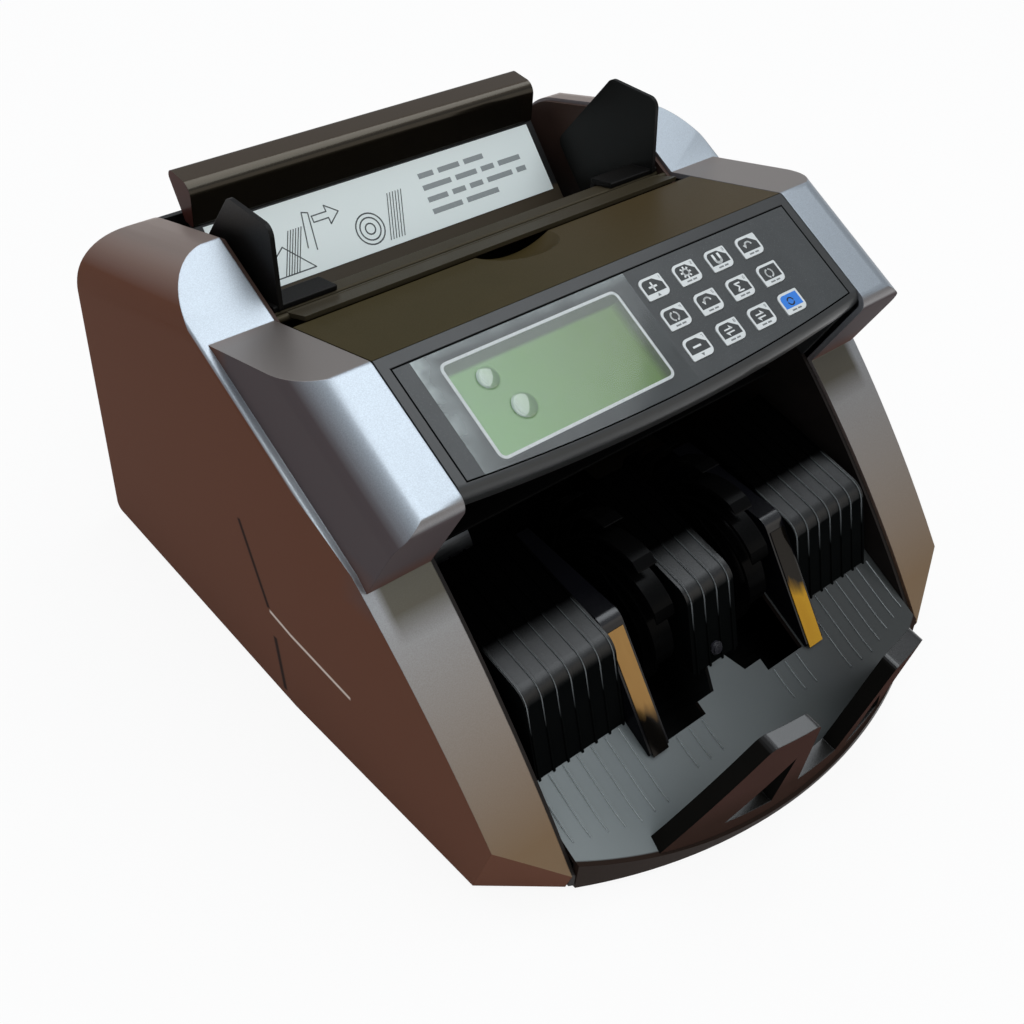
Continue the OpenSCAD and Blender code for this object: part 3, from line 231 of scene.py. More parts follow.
def relief(shader, height, depth, strength=1.0, edge=0.0):
    """Fine relief from a height output; edge rounds the look of sharp corners over that radius."""
    tree = height.id_data
    node = tree.nodes.new("ShaderNodeBump")
    node.inputs["Distance"].default_value = depth
    node.inputs["Strength"].default_value = strength
    tree.links.new(height, node.inputs["Height"])
    if edge:
        soft = tree.nodes.new("ShaderNodeBevel")
        soft.samples = 4
        soft.inputs["Radius"].default_value = edge
        tree.links.new(soft.outputs["Normal"], node.inputs["Normal"])
    wire(shader, "Normal", node.outputs["Normal"])


def moulded(name, dark, pale, roughness, cell, depth, specular=usual_specular, coat=0.0, edge=0.35 * MM):
    """Moulded plastic: two close tones in soft clouds, a spark eroded grain and slightly uneven gloss."""
    finish, tree, shader = new_finish(name, roughness, specular=specular, coat=coat)
    cloud = grain(tree, cloud_size, detail=3.0)
    wire(shader, "Base Color", blended(cloud, dark, pale))
    fine = grain(tree, cell)
    smoothest = roughness * 0.85
    roughest = min(1.0, roughness * 1.2)
    wire(shader, "Roughness", ranged(fine, *noise_span, smoothest, roughest))
    relief(shader, fine, depth, edge=edge)
    return finish


def brushed(name, dark, pale, roughness):
    """Rolled or ground metal: long fine streaks in tone and gloss."""
    finish, tree, shader = new_finish(name, roughness, metallic=1.0)
    streak = grain(tree, streak_size, detail=4.0, stretch=streak_stretch)
    wire(shader, "Base Color", blended(streak, dark, pale))
    wire(shader, "Roughness", ranged(streak, *noise_span, roughness * 0.8, roughness * 1.25))
    relief(shader, streak, depth=0.02 * MM, strength=0.5, edge=0.3 * MM)
    return finish


def axes(output):
    """The three numbers of a vector output."""
    tree = output.id_data
    node = tree.nodes.new("ShaderNodeSeparateXYZ")
    tree.links.new(output, node.inputs["Vector"])
    return node.outputs["X"], node.outputs["Y"], node.outputs["Z"]


def facing(tree, normal="Normal"):
    """The way a surface faces, as three numbers; True Normal leaves out the smoothing."""
    return axes(tree.nodes.new("ShaderNodeNewGeometry").outputs[normal])


def dress(finish, *names):
    """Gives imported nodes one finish."""
    for name in names:
        mesh = nodes[name].data
        mesh.materials.clear()
        mesh.materials.append(finish)


def bent_strip(name, profile, start, end):
    """Closed bar: a profile of (y, z) points, counter-clockwise from +X, carried along X."""
    count = len(profile)
    points = np.concatenate([np.c_[np.full(count, x), profile] for x in (start, end)])
    here = np.arange(count)
    ahead = np.roll(here, -1)
    sides = np.c_[here, ahead, ahead + count, here + count].tolist()
    mesh = bpy.data.meshes.new(name)
    mesh.from_pydata(points.tolist(), [], sides + [here[::-1].tolist(), (here + count).tolist()])
    return mesh


# Faces of the plate that look up are painted near black: painted shade inside the machine.
plate_painted_shade = (0.010, 0.010, 0.010)
floor_slope = (0.3, 0.6)
plated_steel = brushed("plated floor steel", (0.20, 0.20, 0.21), (0.30, 0.30, 0.31), roughness=0.45)
tree, shader, steel = opened(plated_steel)
wire(shader, "Base Color", blended(ranged(facing(tree)[2], *floor_slope), steel, plate_painted_shade))
dress(plated_steel, "base_plate")

plate_front = -124.1 * MM
plate_low = 4.0 * MM
plate_high = 5.5 * MM
lip_front = -131.0 * MM
lip_back = lip_front + plate_high - plate_low
lip_top = 9.0 * MM
lip_inner = 99.0 * MM
lip_outer = 107.8 * MM
fold_radius = 1.8 * MM
fold = np.linspace(math.pi, 1.5 * math.pi, 7)
fold_y = lip_front + fold_radius * (1.0 + np.cos(fold))
fold_z = plate_low + fold_radius * (1.0 + np.sin(fold))
lip_profile = np.r_[[(plate_front, plate_low), (plate_front, plate_high), (lip_back, plate_high),
                     (lip_back, lip_top), (lip_front, lip_top)], np.c_[fold_y, fold_z]]
for name, start, end in (("left_floor_lip", -lip_outer, -lip_inner),
                         ("right_floor_lip", lip_inner, lip_outer)):
    lip = placed(name, bent_strip(name, lip_profile, start, end))
    lip.data.materials.append(plated_steel)
    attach(lip, body_of["base_plate"])
foot_rubber = moulded("foot rubber", (0.012, 0.012, 0.012), (0.03, 0.029, 0.028),
                      roughness=0.8, cell=0.8 * MM, depth=0.05 * MM)
dress(foot_rubber, "rubber_feet")


# Side frames. Two punched steel plates in black paint that carry every shaft
# and close the covers towards the hopper and the pocket.
def spot(tree):
    """The place of a point on its piece, as three numbers in metres."""
    return axes(tree.nodes.new("ShaderNodeTexCoord").outputs["Object"])


hopper_brown = (0.062, 0.036, 0.028)
hopper_z = (0.12, 0.15)
frame_paint = moulded("black frame paint", (0.012, 0.010, 0.009), (0.022, 0.017, 0.015),
                      roughness=0.42, cell=0.5 * MM, depth=0.02 * MM, specular=0.15)
tree, shader, black = opened(frame_paint)
wire(shader, "Base Color", blended(ranged(spot(tree)[2], *hopper_z), black, hopper_brown))
dress(frame_paint, "left_frame", "right_frame")


# Side covers. Two injection moulded shells in silver flake paint, each with a cheek beside
# the panel. Painted light is laid into the colour: painted brown reflection and painted shade on outer walls,
# low and back faces and undercut fronts, a painted shadow under each cheek and a painted highlight on the
# ledge.
weld_distance = 1e-6
large_faces_only = 100


def smooth_copy(name, sharp):
    """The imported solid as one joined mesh: edges sharper than the angle stay crisp, large faces lead."""
    mesh = nodes[name].data.copy()
    mesh.name = name + "_skin"
    if "custom_normal" in mesh.attributes:
        mesh.attributes.remove(mesh.attributes["custom_normal"])
    work = bmesh.new()
    work.from_mesh(mesh)
    bmesh.ops.remove_doubles(work, verts=work.verts, dist=weld_distance)
    work.to_mesh(mesh)
    work.free()
    mesh.shade_smooth()
    mesh.set_sharp_from_angle(angle=math.radians(sharp))
    piece = placed(name + "_skin", mesh)
    level = piece.modifiers.new("level faces", "WEIGHTED_NORMAL")
    level.keep_sharp = True
    level.weight = large_faces_only
    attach(piece, body_of[name])
    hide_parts(name)
    return piece


def reskin(finish, *names, sharp=28.0):
    """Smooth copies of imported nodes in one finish."""
    for name in names:
        piece = smooth_copy(name, sharp)
        piece.data.materials.clear()
        piece.data.materials.append(finish)


def faded(amount, start, end):
    """A number that goes from start to end with amount."""
    return ranged(amount, 0.0, 1.0, start, end)


def scaled(first, factor, second, other):
    """First output times a number plus second output times another number."""
    tree = first.id_data
    whole = tree.nodes.new("ShaderNodeMath")
    whole.operation = "MULTIPLY_ADD"
    whole.inputs[1].default_value = other
    tree.links.new(second, whole.inputs[0])
    tree.links.new(calc("MULTIPLY", first, factor), whole.inputs[2])
    return whole.outputs["Value"]


def near_line(at_y, at_z, start, end, half):
    """One on a straight mark between two points of a side, given in millimetres, and nothing beside it."""
    start, end, half = np.array(start) * MM, np.array(end) * MM, half * MM
    length = np.linalg.norm(end - start)
    way_y, way_z = (end - start) / length
    begun = start @ (way_y, way_z)
    beside = start @ (-way_z, way_y)
    along = scaled(at_y, way_y, at_z, way_z)
    across = scaled(at_y, -way_z, at_z, way_y)
    return calc("MULTIPLY", ranged(along, begun, begun + MM),
                ranged(along, begun + length, begun + length - MM),
                ranged(across, beside - 1.5 * half, beside - 0.5 * half),
                ranged(across, beside + 1.5 * half, beside + 0.5 * half))


silver_pale = (0.48, 0.53, 0.575)
silver_dark = (0.40, 0.435, 0.475)
roof_painted_mauve = (0.37, 0.285, 0.245)
cheek_crown_painted_grey = (0.385, 0.345, 0.320)
painted_ledge_highlight = (0.82, 0.89, 0.93)
low_painted_reflection = (0.24, 0.165, 0.10)
olive_painted_shadow = (0.085, 0.072, 0.042)
front_painted_shade = (0.13, 0.088, 0.066)
cheek_side_painted_shade = (0.105, 0.084, 0.086)
side_painted_brown_reflection = (0.160, 0.066, 0.040)
seam_dark = (0.020, 0.010, 0.008)
seam_pale = (0.85, 0.72, 0.62)
top_roughness, side_roughness = 0.38, 0.7
top_metallic, side_metallic = 0.85, 0.0
top_specular, side_specular = usual_specular, 0.04
flake_size = 0.45 * MM
flake_span = (0.35, 0.65)
under_share = 0.85
nose_share = 0.6
# Each pair tells where a tone begins and where it is full, in metres along one axis of the frame.
taupe_z = (0.145, 0.03)
ledge_x = (0.1372, 0.1385)
ledge_y = (0.042, 0.005)
ledge_z = (0.115, 0.125)
roof_y = (0.05, 0.07)
under_x = (0.138, 0.134)
under_low_z = (0.096, 0.104)
under_high_z = (0.122, 0.118)
nose_z = (0.125, 0.135)
wall_x = (0.1408, 0.1425)
wall_y = (0.046, 0.060)
wall_z = (0.125, 0.10)
left_x = (-0.05, -0.10)
# The same for the way a face looks: the part of its direction along one axis.
looks_back = (0.0, 0.2)
looks_forward = (-0.2, -0.35)
looks_further_forward = (-0.2, -0.4)
looks_full_forward = (-0.55, -0.85)
looks_sideways = (0.40, 0.89)
looks_down = (0.12, -0.10)
# Seam marks on the left wall: two ends in millimetres (y, z), half a width and a colour.
seams = (((42.6, 89.7), (23.8, 51.4), 1.2, seam_dark),
         ((23.8, 50.7), (-32.8, 45.6), 0.8, seam_pale),
         ((20.7, 37.4), (15.1, 7.4), 1.4, seam_dark))

silver, tree, shader = new_finish("silver flake paint", top_roughness, metallic=top_metallic)
face_x, face_y, face_z = facing(tree)
at_x, at_y, at_z = spot(tree)
off_middle = calc("ABSOLUTE", at_x)
flake = grain(tree, flake_size, detail=3.0)
paint = blended(ranged(flake, *flake_span), silver_dark, silver_pale)
# Lower down the silver turns taupe: a painted reflection of the brown below.
paint = blended(ranged(at_z, *taupe_z), paint, low_painted_reflection)
# The narrow ledge between wall and cheek is painted pale: a painted highlight where the cheek shades it.
highlight_strip = calc("MULTIPLY", ranged(off_middle, *ledge_x), ranged(face_y, *looks_forward),
             ranged(at_z, *ledge_z), ranged(at_y, *ledge_y))
paint = blended(highlight_strip, paint, painted_ledge_highlight)
# Faces that look back get a painted reflection in place of the silver: grey on the cheek tops, mauve further
# back on the roof.
back_painted_reflection = blended(ranged(at_y, *roof_y), cheek_crown_painted_grey, roof_painted_mauve)
paint = blended(ranged(face_y, *looks_back), paint, back_painted_reflection)
# Just below each cheek the front face is painted olive dark: the cheek's painted shadow.
cheek_shadow_mask = calc("MULTIPLY", ranged(at_z, *under_low_z), ranged(at_z, *under_high_z),
                   ranged(off_middle, *under_x), ranged(face_y, *looks_further_forward, end=under_share))
paint = blended(cheek_shadow_mask, paint, olive_painted_shadow)
# Forward faces of the lower cheek are painted darker and browner: painted shade.
front_shade_mask = calc("MULTIPLY", ranged(face_y, *looks_full_forward, end=nose_share), ranged(at_z, *nose_z))
paint = blended(front_shade_mask, paint, front_painted_shade)
# Faces that look outward or down lose the silver for painted shade on the cheeks and a painted brown
# reflection on the outer wall; the seam marks on the left wall are real marks.
outward = calc("MULTIPLY", face_x, calc("SIGN", at_x))
painted_side_share = calc("MAXIMUM", ranged(outward, *looks_sideways), ranged(face_z, *looks_down))
off_cheek = calc("MAXIMUM", ranged(at_y, *wall_y), ranged(at_z, *wall_z))
side_shade_reflection_and_seams = blended(calc("MAXIMUM", ranged(off_middle, *wall_x), off_cheek), cheek_side_painted_shade, side_painted_brown_reflection)
on_left = ranged(at_x, *left_x)
for start, end, half, seam_colour in seams:
    mark = calc("MULTIPLY", near_line(at_y, at_z, start, end, half), on_left)
    side_shade_reflection_and_seams = blended(mark, side_shade_reflection_and_seams, seam_colour)
wire(shader, "Base Color", blended(painted_side_share, paint, side_shade_reflection_and_seams))
wire(shader, "Metallic", faded(painted_side_share, top_metallic, side_metallic))
wire(shader, "Specular IOR Level", faded(painted_side_share, top_specular, side_specular))
wire(shader, "Roughness", faded(painted_side_share, top_roughness, side_roughness))
relief(shader, flake, depth=0.012 * MM, strength=0.4, edge=0.6 * MM)
reskin(silver, "left_cover", "right_cover", sharp=24.0)


# Panel. A black bezel with a bowed lip and deep side skirts, hooked over the frames;
# a speckled printed film is stuck into its seat, painted black along its edge as painted shade of the gap.
def on_slope(origin, tilt, u, v, w):
    """Points of a slope through origin: u across, v up it and w out of it, turned by the tilt about X."""
    u, v, w = np.broadcast_arrays(np.asarray(u, float), np.asarray(v, float), np.asarray(w, float))
    y = origin[1] + v * math.cos(tilt) - w * math.sin(tilt)
    z = origin[2] + v * math.sin(tilt) + w * math.cos(tilt)
    return np.stack([u + origin[0], y, z], axis=-1)


panel_middle = (0.0, -0.03091, 0.16775)
panel_tilt = math.radians(25.75)


def on_panel(u, v, w):
    """Points of the panel, measured from its middle."""
    return on_slope(panel_middle, panel_tilt, u, v, w)


overlay_half = 106.0 * MM
overlay_top = 24.0 * MM
overlay_low = 31.6 * MM
overlay_bow = 951.0 * MM
overlay_dark = (0.030, 0.033, 0.034)
overlay_pale = (0.052, 0.056, 0.057)
speck_grey = (0.10, 0.105, 0.105)
gap_painted_shade = (0.003, 0.003, 0.003)
speck_span = (0.60, 0.74)
dull_span = (0.4, 0.7)
overlay_roughness = (0.34, 0.5)
rim = 0.7 * MM
rim_fade = 0.2 * MM
bezel_plastic = moulded("bezel plastic", (0.022, 0.023, 0.023), (0.036, 0.037, 0.037),
                        roughness=0.38, cell=0.35 * MM, depth=0.012 * MM, coat=0.1)
reskin(bezel_plastic, "panel_bezel")
speckle, tree, shader = new_finish("speckled overlay", roughness=0.40)
dots = grain(tree, 0.35 * MM, detail=1.0)
ground = blended(grain(tree, 16.0 * MM, detail=3.0), overlay_dark, overlay_pale)
ground = blended(ranged(dots, *speck_span), ground, speck_grey)
at_x, at_y, at_z = spot(tree)
up_slope = scaled(at_y, math.cos(panel_tilt), at_z, math.sin(panel_tilt))
bowed = scaled(up_slope, 1.0, calc("MULTIPLY", at_x, at_x), -0.5 / overlay_bow)
middle_up = panel_middle[1] * math.cos(panel_tilt) + panel_middle[2] * math.sin(panel_tilt)
side_edge = overlay_half - rim
top_edge = middle_up + overlay_top - rim
low_edge = middle_up - overlay_low + rim
# A thin band along the film's edge is painted black with no gloss: painted shade of the gap to the bezel.
gap_shade_mask = calc("MAXIMUM", ranged(calc("ABSOLUTE", at_x), side_edge, side_edge + rim_fade),
              ranged(up_slope, top_edge, top_edge + rim_fade), ranged(bowed, low_edge, low_edge - rim_fade))
wire(shader, "Base Color", blended(gap_shade_mask, ground, gap_painted_shade))
wire(shader, "Specular IOR Level", faded(gap_shade_mask, usual_specular, 0.0))
wire(shader, "Roughness", ranged(dots, *dull_span, *overlay_roughness))
relief(shader, dots, depth=0.01 * MM, strength=0.6)
dress(speckle, "panel_overlay")


# Display. A reflective green glass behind the window, framed by a printed white line
# and covered with a clear glossy film that still has two air bubbles under it.
print_weld = 1e-7
worn_size = 1.3 * MM
worn_span = (0.55, 0.85)


def joined_print(name, outlines, to_space, lift):
    """Flat print: each outline is one face, carried to space at height lift; shared points are joined."""
    outlines = [np.asarray(outline, float) for outline in outlines]
    flat = np.concatenate(outlines)
    starts = np.cumsum([0] + [len(outline) for outline in outlines])
    faces = [tuple(range(first, last)) for first, last in zip(starts[:-1], starts[1:])]
    mesh = bpy.data.meshes.new(name)
    mesh.from_pydata(to_space(flat[:, 0], flat[:, 1], lift).tolist(), [], faces)
    mesh.validate()
    work = bmesh.new()
    work.from_mesh(mesh)
    bmesh.ops.remove_doubles(work, verts=work.verts, dist=print_weld)
    work.to_mesh(mesh)
    work.free()
    return mesh


def lay_print(name, outlines, to_space, lift, finish, body):
    """A print that rides on a body."""
    piece = placed(name, joined_print(name, outlines, to_space, lift))
    piece.data.materials.append(finish)
    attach(piece, body)


def rounded_box(u0, v0, u1, v1, radius, steps=6):
    """Closed outline of a rectangle whose four corners are quarter circles of one radius."""
    turn = np.linspace(0.0, math.pi / 2, steps)
    corners = ((u1 - radius, v1 - radius, 0.0), (u0 + radius, v1 - radius, math.pi / 2),
               (u0 + radius, v0 + radius, math.pi), (u1 - radius, v0 + radius, 1.5 * math.pi))
    arcs = [np.c_[cu + radius * np.cos(turn + a), cv + radius * np.sin(turn + a)] for cu, cv, a in corners]
    return np.concatenate(arcs)


def band_faces(inner, outer):
    """Four sided faces between two closed outlines that have the same number of points."""
    ahead = np.roll(np.arange(len(inner)), -1)
    return [np.array([outer[i], outer[j], inner[j], inner[i]]) for i, j in enumerate(ahead)]


def printed(name, colour, worn, roughness=0.5):
    """Printing ink: an even tone with faint worn spots."""
    finish, tree, shader = new_finish(name, roughness)
    spots = grain(tree, worn_size, detail=4.0)
    wire(shader, "Base Color", blended(ranged(spots, *worn_span), colour, worn))
    return finish


ink_step = 0.02 * MM
overlay_face = -0.1 * MM
line_lift = overlay_face + 0.03 * MM
film_lift = overlay_face + 0.10 * MM
line_outer = rounded_box(-89.0 * MM, -24.7 * MM, -0.2 * MM, 18.4 * MM, 3.4 * MM)
line_inner = rounded_box(-87.7 * MM, -23.4 * MM, -1.5 * MM, 17.1 * MM, 2.1 * MM)
white_ink = printed("white ink", (0.78, 0.80, 0.79), (0.55, 0.57, 0.57))
lay_print("display_line", band_faces(line_inner, line_outer), on_panel, line_lift,
          white_ink, "machine")

glass_left = (0.26, 0.49, 0.19)
glass_right = (0.14, 0.26, 0.03)
glass_haze = (0.27, 0.40, 0.22)
glass_dots = (0.16, 0.25, 0.14)
recess_painted_shadow = (0.050, 0.060, 0.042)
haze_share = 0.25
dots_share = 0.06
glass_x = (-0.085, -0.004)
shade_x = (-0.0080, -0.0035)
shade_y = (-0.0203, -0.0189)
right_shade = 0.75
top_shade = 0.85
display_glass, tree, shader = new_finish("display glass", roughness=0.22, coat=0.4, coat_roughness=0.05)
at_x, at_y = spot(tree)[:2]
haze = grain(tree, 26.0 * MM, detail=3.0)
fine = grain(tree, 0.3 * MM, detail=1.0)
tint = blended(ranged(at_x, *glass_x), glass_left, glass_right)
tint = blended(ranged(haze, *noise_span, end=haze_share), tint, glass_haze)
tint = blended(ranged(fine, *noise_span, end=dots_share), tint, glass_dots)
# The top and right edges of the glass are darkened: the painted shadow of the window's recess walls.
recess_shadow_mask = calc("MAXIMUM", ranged(at_y, *shade_y, end=top_shade), ranged(at_x, *shade_x, end=right_shade))
wire(shader, "Base Color", blended(recess_shadow_mask, tint, recess_painted_shadow))
dress(display_glass, "display_module")
lay_print("display_face", [line_inner], on_panel, overlay_face + ink_step,
          display_glass, "machine")

film_left = -98.0 * MM
film_right = 8.0 * MM
film_high = 23.2 * MM
film_inset = 0.4 * MM
film_columns = 260
film_rows = 130
bubbles = ((-73.9 * MM, 6.2 * MM, 4.7 * MM), (-67.5 * MM, -9.1 * MM, 5.4 * MM))
bubble_rise = 1.1 * MM


def film_sheet(columns, rows):
    """Thin sheet with a bowed lower edge; a bubble lifts it by rise times sqrt(1 - d^2 / radius^2)."""
    across, up = np.meshgrid(np.linspace(0.0, 1.0, columns), np.linspace(0.0, 1.0, rows))
    u = film_left + across * (film_right - film_left)
    low = overlay_bow - overlay_low + film_inset - np.sqrt(overlay_bow ** 2 - u ** 2)
    v = low + up * (film_high - low)
    lift = np.full_like(u, film_lift)
    for cu, cv, radius in bubbles:
        lift += bubble_rise * np.sqrt(np.clip(1.0 - ((u - cu) ** 2 + (v - cv) ** 2) / radius ** 2, 0.0, None))
    points = on_panel(u, v, lift).reshape(-1, 3)
    index = np.arange(columns * rows).reshape(rows, columns)
    faces = np.stack([index[:-1, :-1], index[:-1, 1:], index[1:, 1:], index[1:, :-1]], axis=-1).reshape(-1, 4)
    mesh = bpy.data.meshes.new("film_sheet")
    mesh.from_pydata(points.tolist(), [], faces.tolist())
    mesh.shade_smooth()
    air = mesh.attributes.new("air", "FLOAT", "POINT")
    air.data.foreach_set("value", ((lift - lift.min()) / bubble_rise).ravel())
    return mesh


film_glare_milk = (0.72, 0.80, 0.79, 1.0)
film_roughness = 0.09
film_index = 1.42
ripple_size = 14.0 * MM
ripple_depth = 0.2 * MM
ripple_strength = 0.25
air_span = (0.05, 0.30)
bubble_slope = (0.0, -0.35)
bubble_shine = 0.14
bubble_painted_highlight = (0.05, 0.45)
glare_x = (film_left, film_left + 12.0 * MM)
glare_y = (-0.056, -0.012)
top_y = (-0.0150, -0.0105)
glare_share = (0.42, 0.05)
glare_fade = (0.45, 1.25)
top_edge_glint = 0.24
glare_cloud_size = 8.0 * MM
glare_cloud_spread = (0.6, 1.3)
film, tree = new_finish("clear film", roughness=0.06)[:2]
at_x, at_y = spot(tree)[:2]
clear = tree.nodes.new("ShaderNodeBsdfTransparent")
shine = tree.nodes.new("ShaderNodeBsdfGlossy")
shine.inputs["Roughness"].default_value = film_roughness
relief(shine, grain(tree, ripple_size), ripple_depth, ripple_strength)
edge_on = tree.nodes.new("ShaderNodeFresnel")
edge_on.inputs["IOR"].default_value = film_index
air = tree.nodes.new("ShaderNodeAttribute")
air.attribute_name = "air"
bubble_gloss = ranged(air.outputs["Fac"], *air_span, end=bubble_shine)
gloss = calc("ADD", edge_on.outputs["Fac"], bubble_gloss)
glossy = layered(gloss, clear.outputs["BSDF"], shine.outputs["BSDF"])
# A milky diffuse layer over the left part and along the top edge of the film: haze where the film stands
# loose, painted brighter as the window's glare, with a painted glint along the lifted top edge.
milky_glare = tree.nodes.new("ShaderNodeBsdfDiffuse")
milky_glare.inputs["Color"].default_value = film_glare_milk
loose_film_glare = calc("MULTIPLY", ranged(at_x, *glare_x, *glare_share), ranged(at_y, *glare_y, *glare_fade))
loose_film_glare = calc("MAXIMUM", loose_film_glare, ranged(at_y, *top_y, end=top_edge_glint))
glare_clouds = calc("MULTIPLY", loose_film_glare, ranged(grain(tree, glare_cloud_size), *noise_span, *glare_cloud_spread))
# The left slopes of the bubbles are painted pale: a painted highlight.
bubble_highlight_mask = calc("MULTIPLY", ranged(air.outputs["Fac"], *air_span),
                   ranged(facing(tree)[0], *bubble_slope, *bubble_painted_highlight))
veiled_with_glare = layered(calc("ADD", glare_clouds, bubble_highlight_mask), glossy, milky_glare.outputs["BSDF"])
tree.links.new(veiled_with_glare, tree.nodes["Material Output"].inputs["Surface"])
sheet = placed("film_sheet", film_sheet(film_columns, film_rows))
sheet.data.materials.append(film)
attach(sheet, body_of["display_film"])
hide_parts("display_film")

# Keys. Twelve film keys on the panel: a white print with a dark field that has one cut corner,
# a plain sign in it and a small number; the last field is blue. Drawings are in millimetres.
key_columns = 4
key_count = 12
key_first = (17.1 * MM, 12.5 * MM)
key_pitch = (19.1 * MM, 15.2 * MM)
key_top = 0.3 * MM
sign_scale = 1.3 * MM
sign_shift = 0.4 * MM
marks_below = 3.7 * MM
digit_place = (4.6 * MM, 2.9 * MM)
digit_size = (0.75, 0.6)
digit_width = 0.22
field_cut = 2.9
slight_cut = 0.05


def stroke(points, width):
    """Line of one width along points: each segment is a four sided face, 0.3 widths longer at both ends."""
    points = np.asarray(points, float)
    faces = []
    for start, end in zip(points[:-1], points[1:]):
        way = (end - start) / np.linalg.norm(end - start)
        side = np.array([-way[1], way[0]]) * width / 2
        start = start - way * width * 0.3
        end = end + way * width * 0.3
        faces.append(np.array([start - side, end - side, end + side, start + side]))
    return faces


def arc(cu, cv, radius, start, end, steps=14):
    """Points on a circle between two angles in degrees."""
    turn = np.radians(np.linspace(start, end, steps))
    return np.c_[cu + radius * np.cos(turn), cv + radius * np.sin(turn)]


def key_field(cut):
    """Dark field of a key: rounded at the upper left, cut at the upper right."""
    corner = arc(-2.9, 1.5, 2.4, 90, 180, 8)
    return np.r_[[(-5.3, -2.4), (5.3, -2.4)], [(5.3, 3.9 - cut), (5.3 - 1.3 * cut, 3.9)], corner]


def moved(faces, cu, cv, scale=MM):
    """Faces in millimetres set round a centre in metres."""
    return [np.asarray(face) * scale + np.array([cu, cv]) for face in faces]


minus = stroke([(-1.5, 0), (1.5, 0)], 0.7)
plus = minus + stroke([(0, -1.5), (0, 1.5)], 0.7)
sun_ways = [np.array([math.cos(turn), math.sin(turn)]) for turn in np.radians(np.arange(0, 360, 45))]
sun = stroke(arc(0, 0, 1.15, 0, 360, 20), 0.6)
sun += [ray for way in sun_ways for ray in stroke([1.5 * way, 2.0 * way], 0.65)]
horseshoe = stroke(np.r_[[(-1.2, 1.6)], arc(0, -0.3, 1.2, 180, 360, 12), [(1.2, 1.6)]], 1.0)
turn_back = stroke(arc(0.2, -0.2, 1.5, 20, 170), 0.6) + [np.array([(-2.2, 0.5), (-0.6, 0.5), (-1.4, -0.9)])]
half_rings = stroke(arc(0, 0, 1.5, 110, 250), 0.6) + stroke(arc(0, 0, 1.5, -70, 70), 0.6)
steps = stroke([(1.2, 1.4), (-1.1, 1.4), (0.3, 0.0), (-1.1, -1.4), (1.2, -1.4)], 0.55)
swap = stroke([(-1.7, 0.6), (1.5, 0.6)], 0.5) + stroke([(-1.5, -0.6), (1.7, -0.6)], 0.5)
swap += [np.array([(0.6, 0.5), (0.6, 1.9), (1.9, 0.5)]), np.array([(-0.6, -0.5), (-0.6, -1.9), (-1.9, -0.5)])]
open_round = stroke(arc(0, 0, 1.3, 10, 160), 0.5) + stroke(arc(0, 0, 1.3, 190, 340), 0.5)
key_signs = [plus, sun, horseshoe, turn_back, half_rings, turn_back, steps, half_rings,
             minus, swap, swap, open_round]

arrow_up = [np.array([(-0.9, -0.6), (0.9, -0.6), (0.0, 0.8)])]
arrow_down = [np.array([(0.9, 0.6), (-0.9, 0.6), (0.0, -0.8)])]
two_words = stroke([(-2.6, 0), (-0.3, 0)], 0.7) + stroke([(0.8, 0), (2.6, 0)], 0.7)
key_words = [arrow_up] + [two_words] * 7 + [arrow_down] + [two_words] * 3

key_digits = ("1", "2", "3", "", "4", "5", "6", "", "7", "8", "9", "")
digit_bars = {"a": ((0, 2), (1, 2)), "b": ((1, 2), (1, 1)), "c": ((1, 1), (1, 0)), "d": ((0, 0), (1, 0)),
              "e": ((0, 0), (0, 1)), "f": ((0, 1), (0, 2)), "g": ((0, 1), (1, 1))}
digit_shape = {"": "", "1": "bc", "2": "abged", "3": "abgcd", "4": "fgbc", "5": "afgcd", "6": "afgedc",
               "7": "abc", "8": "abcdefg", "9": "abgfcd"}

dark_ink = printed("dark ink", (0.030, 0.033, 0.033), (0.055, 0.058, 0.058))
grey_ink = printed("grey ink", (0.17, 0.18, 0.18), (0.27, 0.28, 0.28))
blue_ink = printed("blue ink", (0.02, 0.20, 0.72), (0.03, 0.26, 0.75))
field_inks = [dark_ink] * 11 + [blue_ink]
sign_inks = [white_ink] * 11 + [dark_ink]
field_cuts = [field_cut] * 7 + [slight_cut] + [field_cut] * 3 + [slight_cut]
key_plastic = moulded("white key film", (0.66, 0.69, 0.68), (0.76, 0.78, 0.77),
                      roughness=0.42, cell=0.4 * MM, depth=0.004 * MM)
for number in range(key_count):
    cu = key_first[0] + number % key_columns * key_pitch[0]
    cv = key_first[1] - number // key_columns * key_pitch[1]
    node = "key_%d" % (number + 1)
    reskin(key_plastic, node)
    field = moved([key_field(field_cuts[number])], cu, cv)
    lay_print(node + "_field", field, on_panel, key_top + ink_step, field_inks[number], node)
    sign = moved(key_signs[number], cu - sign_shift, cv + sign_shift, sign_scale)
    lay_print(node + "_sign", sign, on_panel, key_top + 2 * ink_step, sign_inks[number], node)
    marks = moved(key_words[number], cu, cv - marks_below)
    for bar in digit_shape[key_digits[number]]:
        bar_line = stroke(np.array(digit_bars[bar], float) * digit_size, digit_width)
        marks += moved(bar_line, cu + digit_place[0], cv + digit_place[1])
    lay_print(node + "_marks", marks, on_panel, key_top + ink_step, grey_ink, node)

track_span = (0.48, 0.52)
board_green, tree, shader = new_finish("solder mask", roughness=0.4, coat=0.3)
cloud = grain(tree, 5.0 * MM, detail=3.0)
wire(shader, "Base Color", blended(cloud, (0.01, 0.07, 0.03), (0.02, 0.11, 0.05)))
tracks = grain(tree, 1.2 * MM, detail=0.0, stretch=(1.0, 0.15, 1.0))
relief(shader, ranged(tracks, *track_span), depth=0.03 * MM)
dress(board_green, "key_board", "main_board")

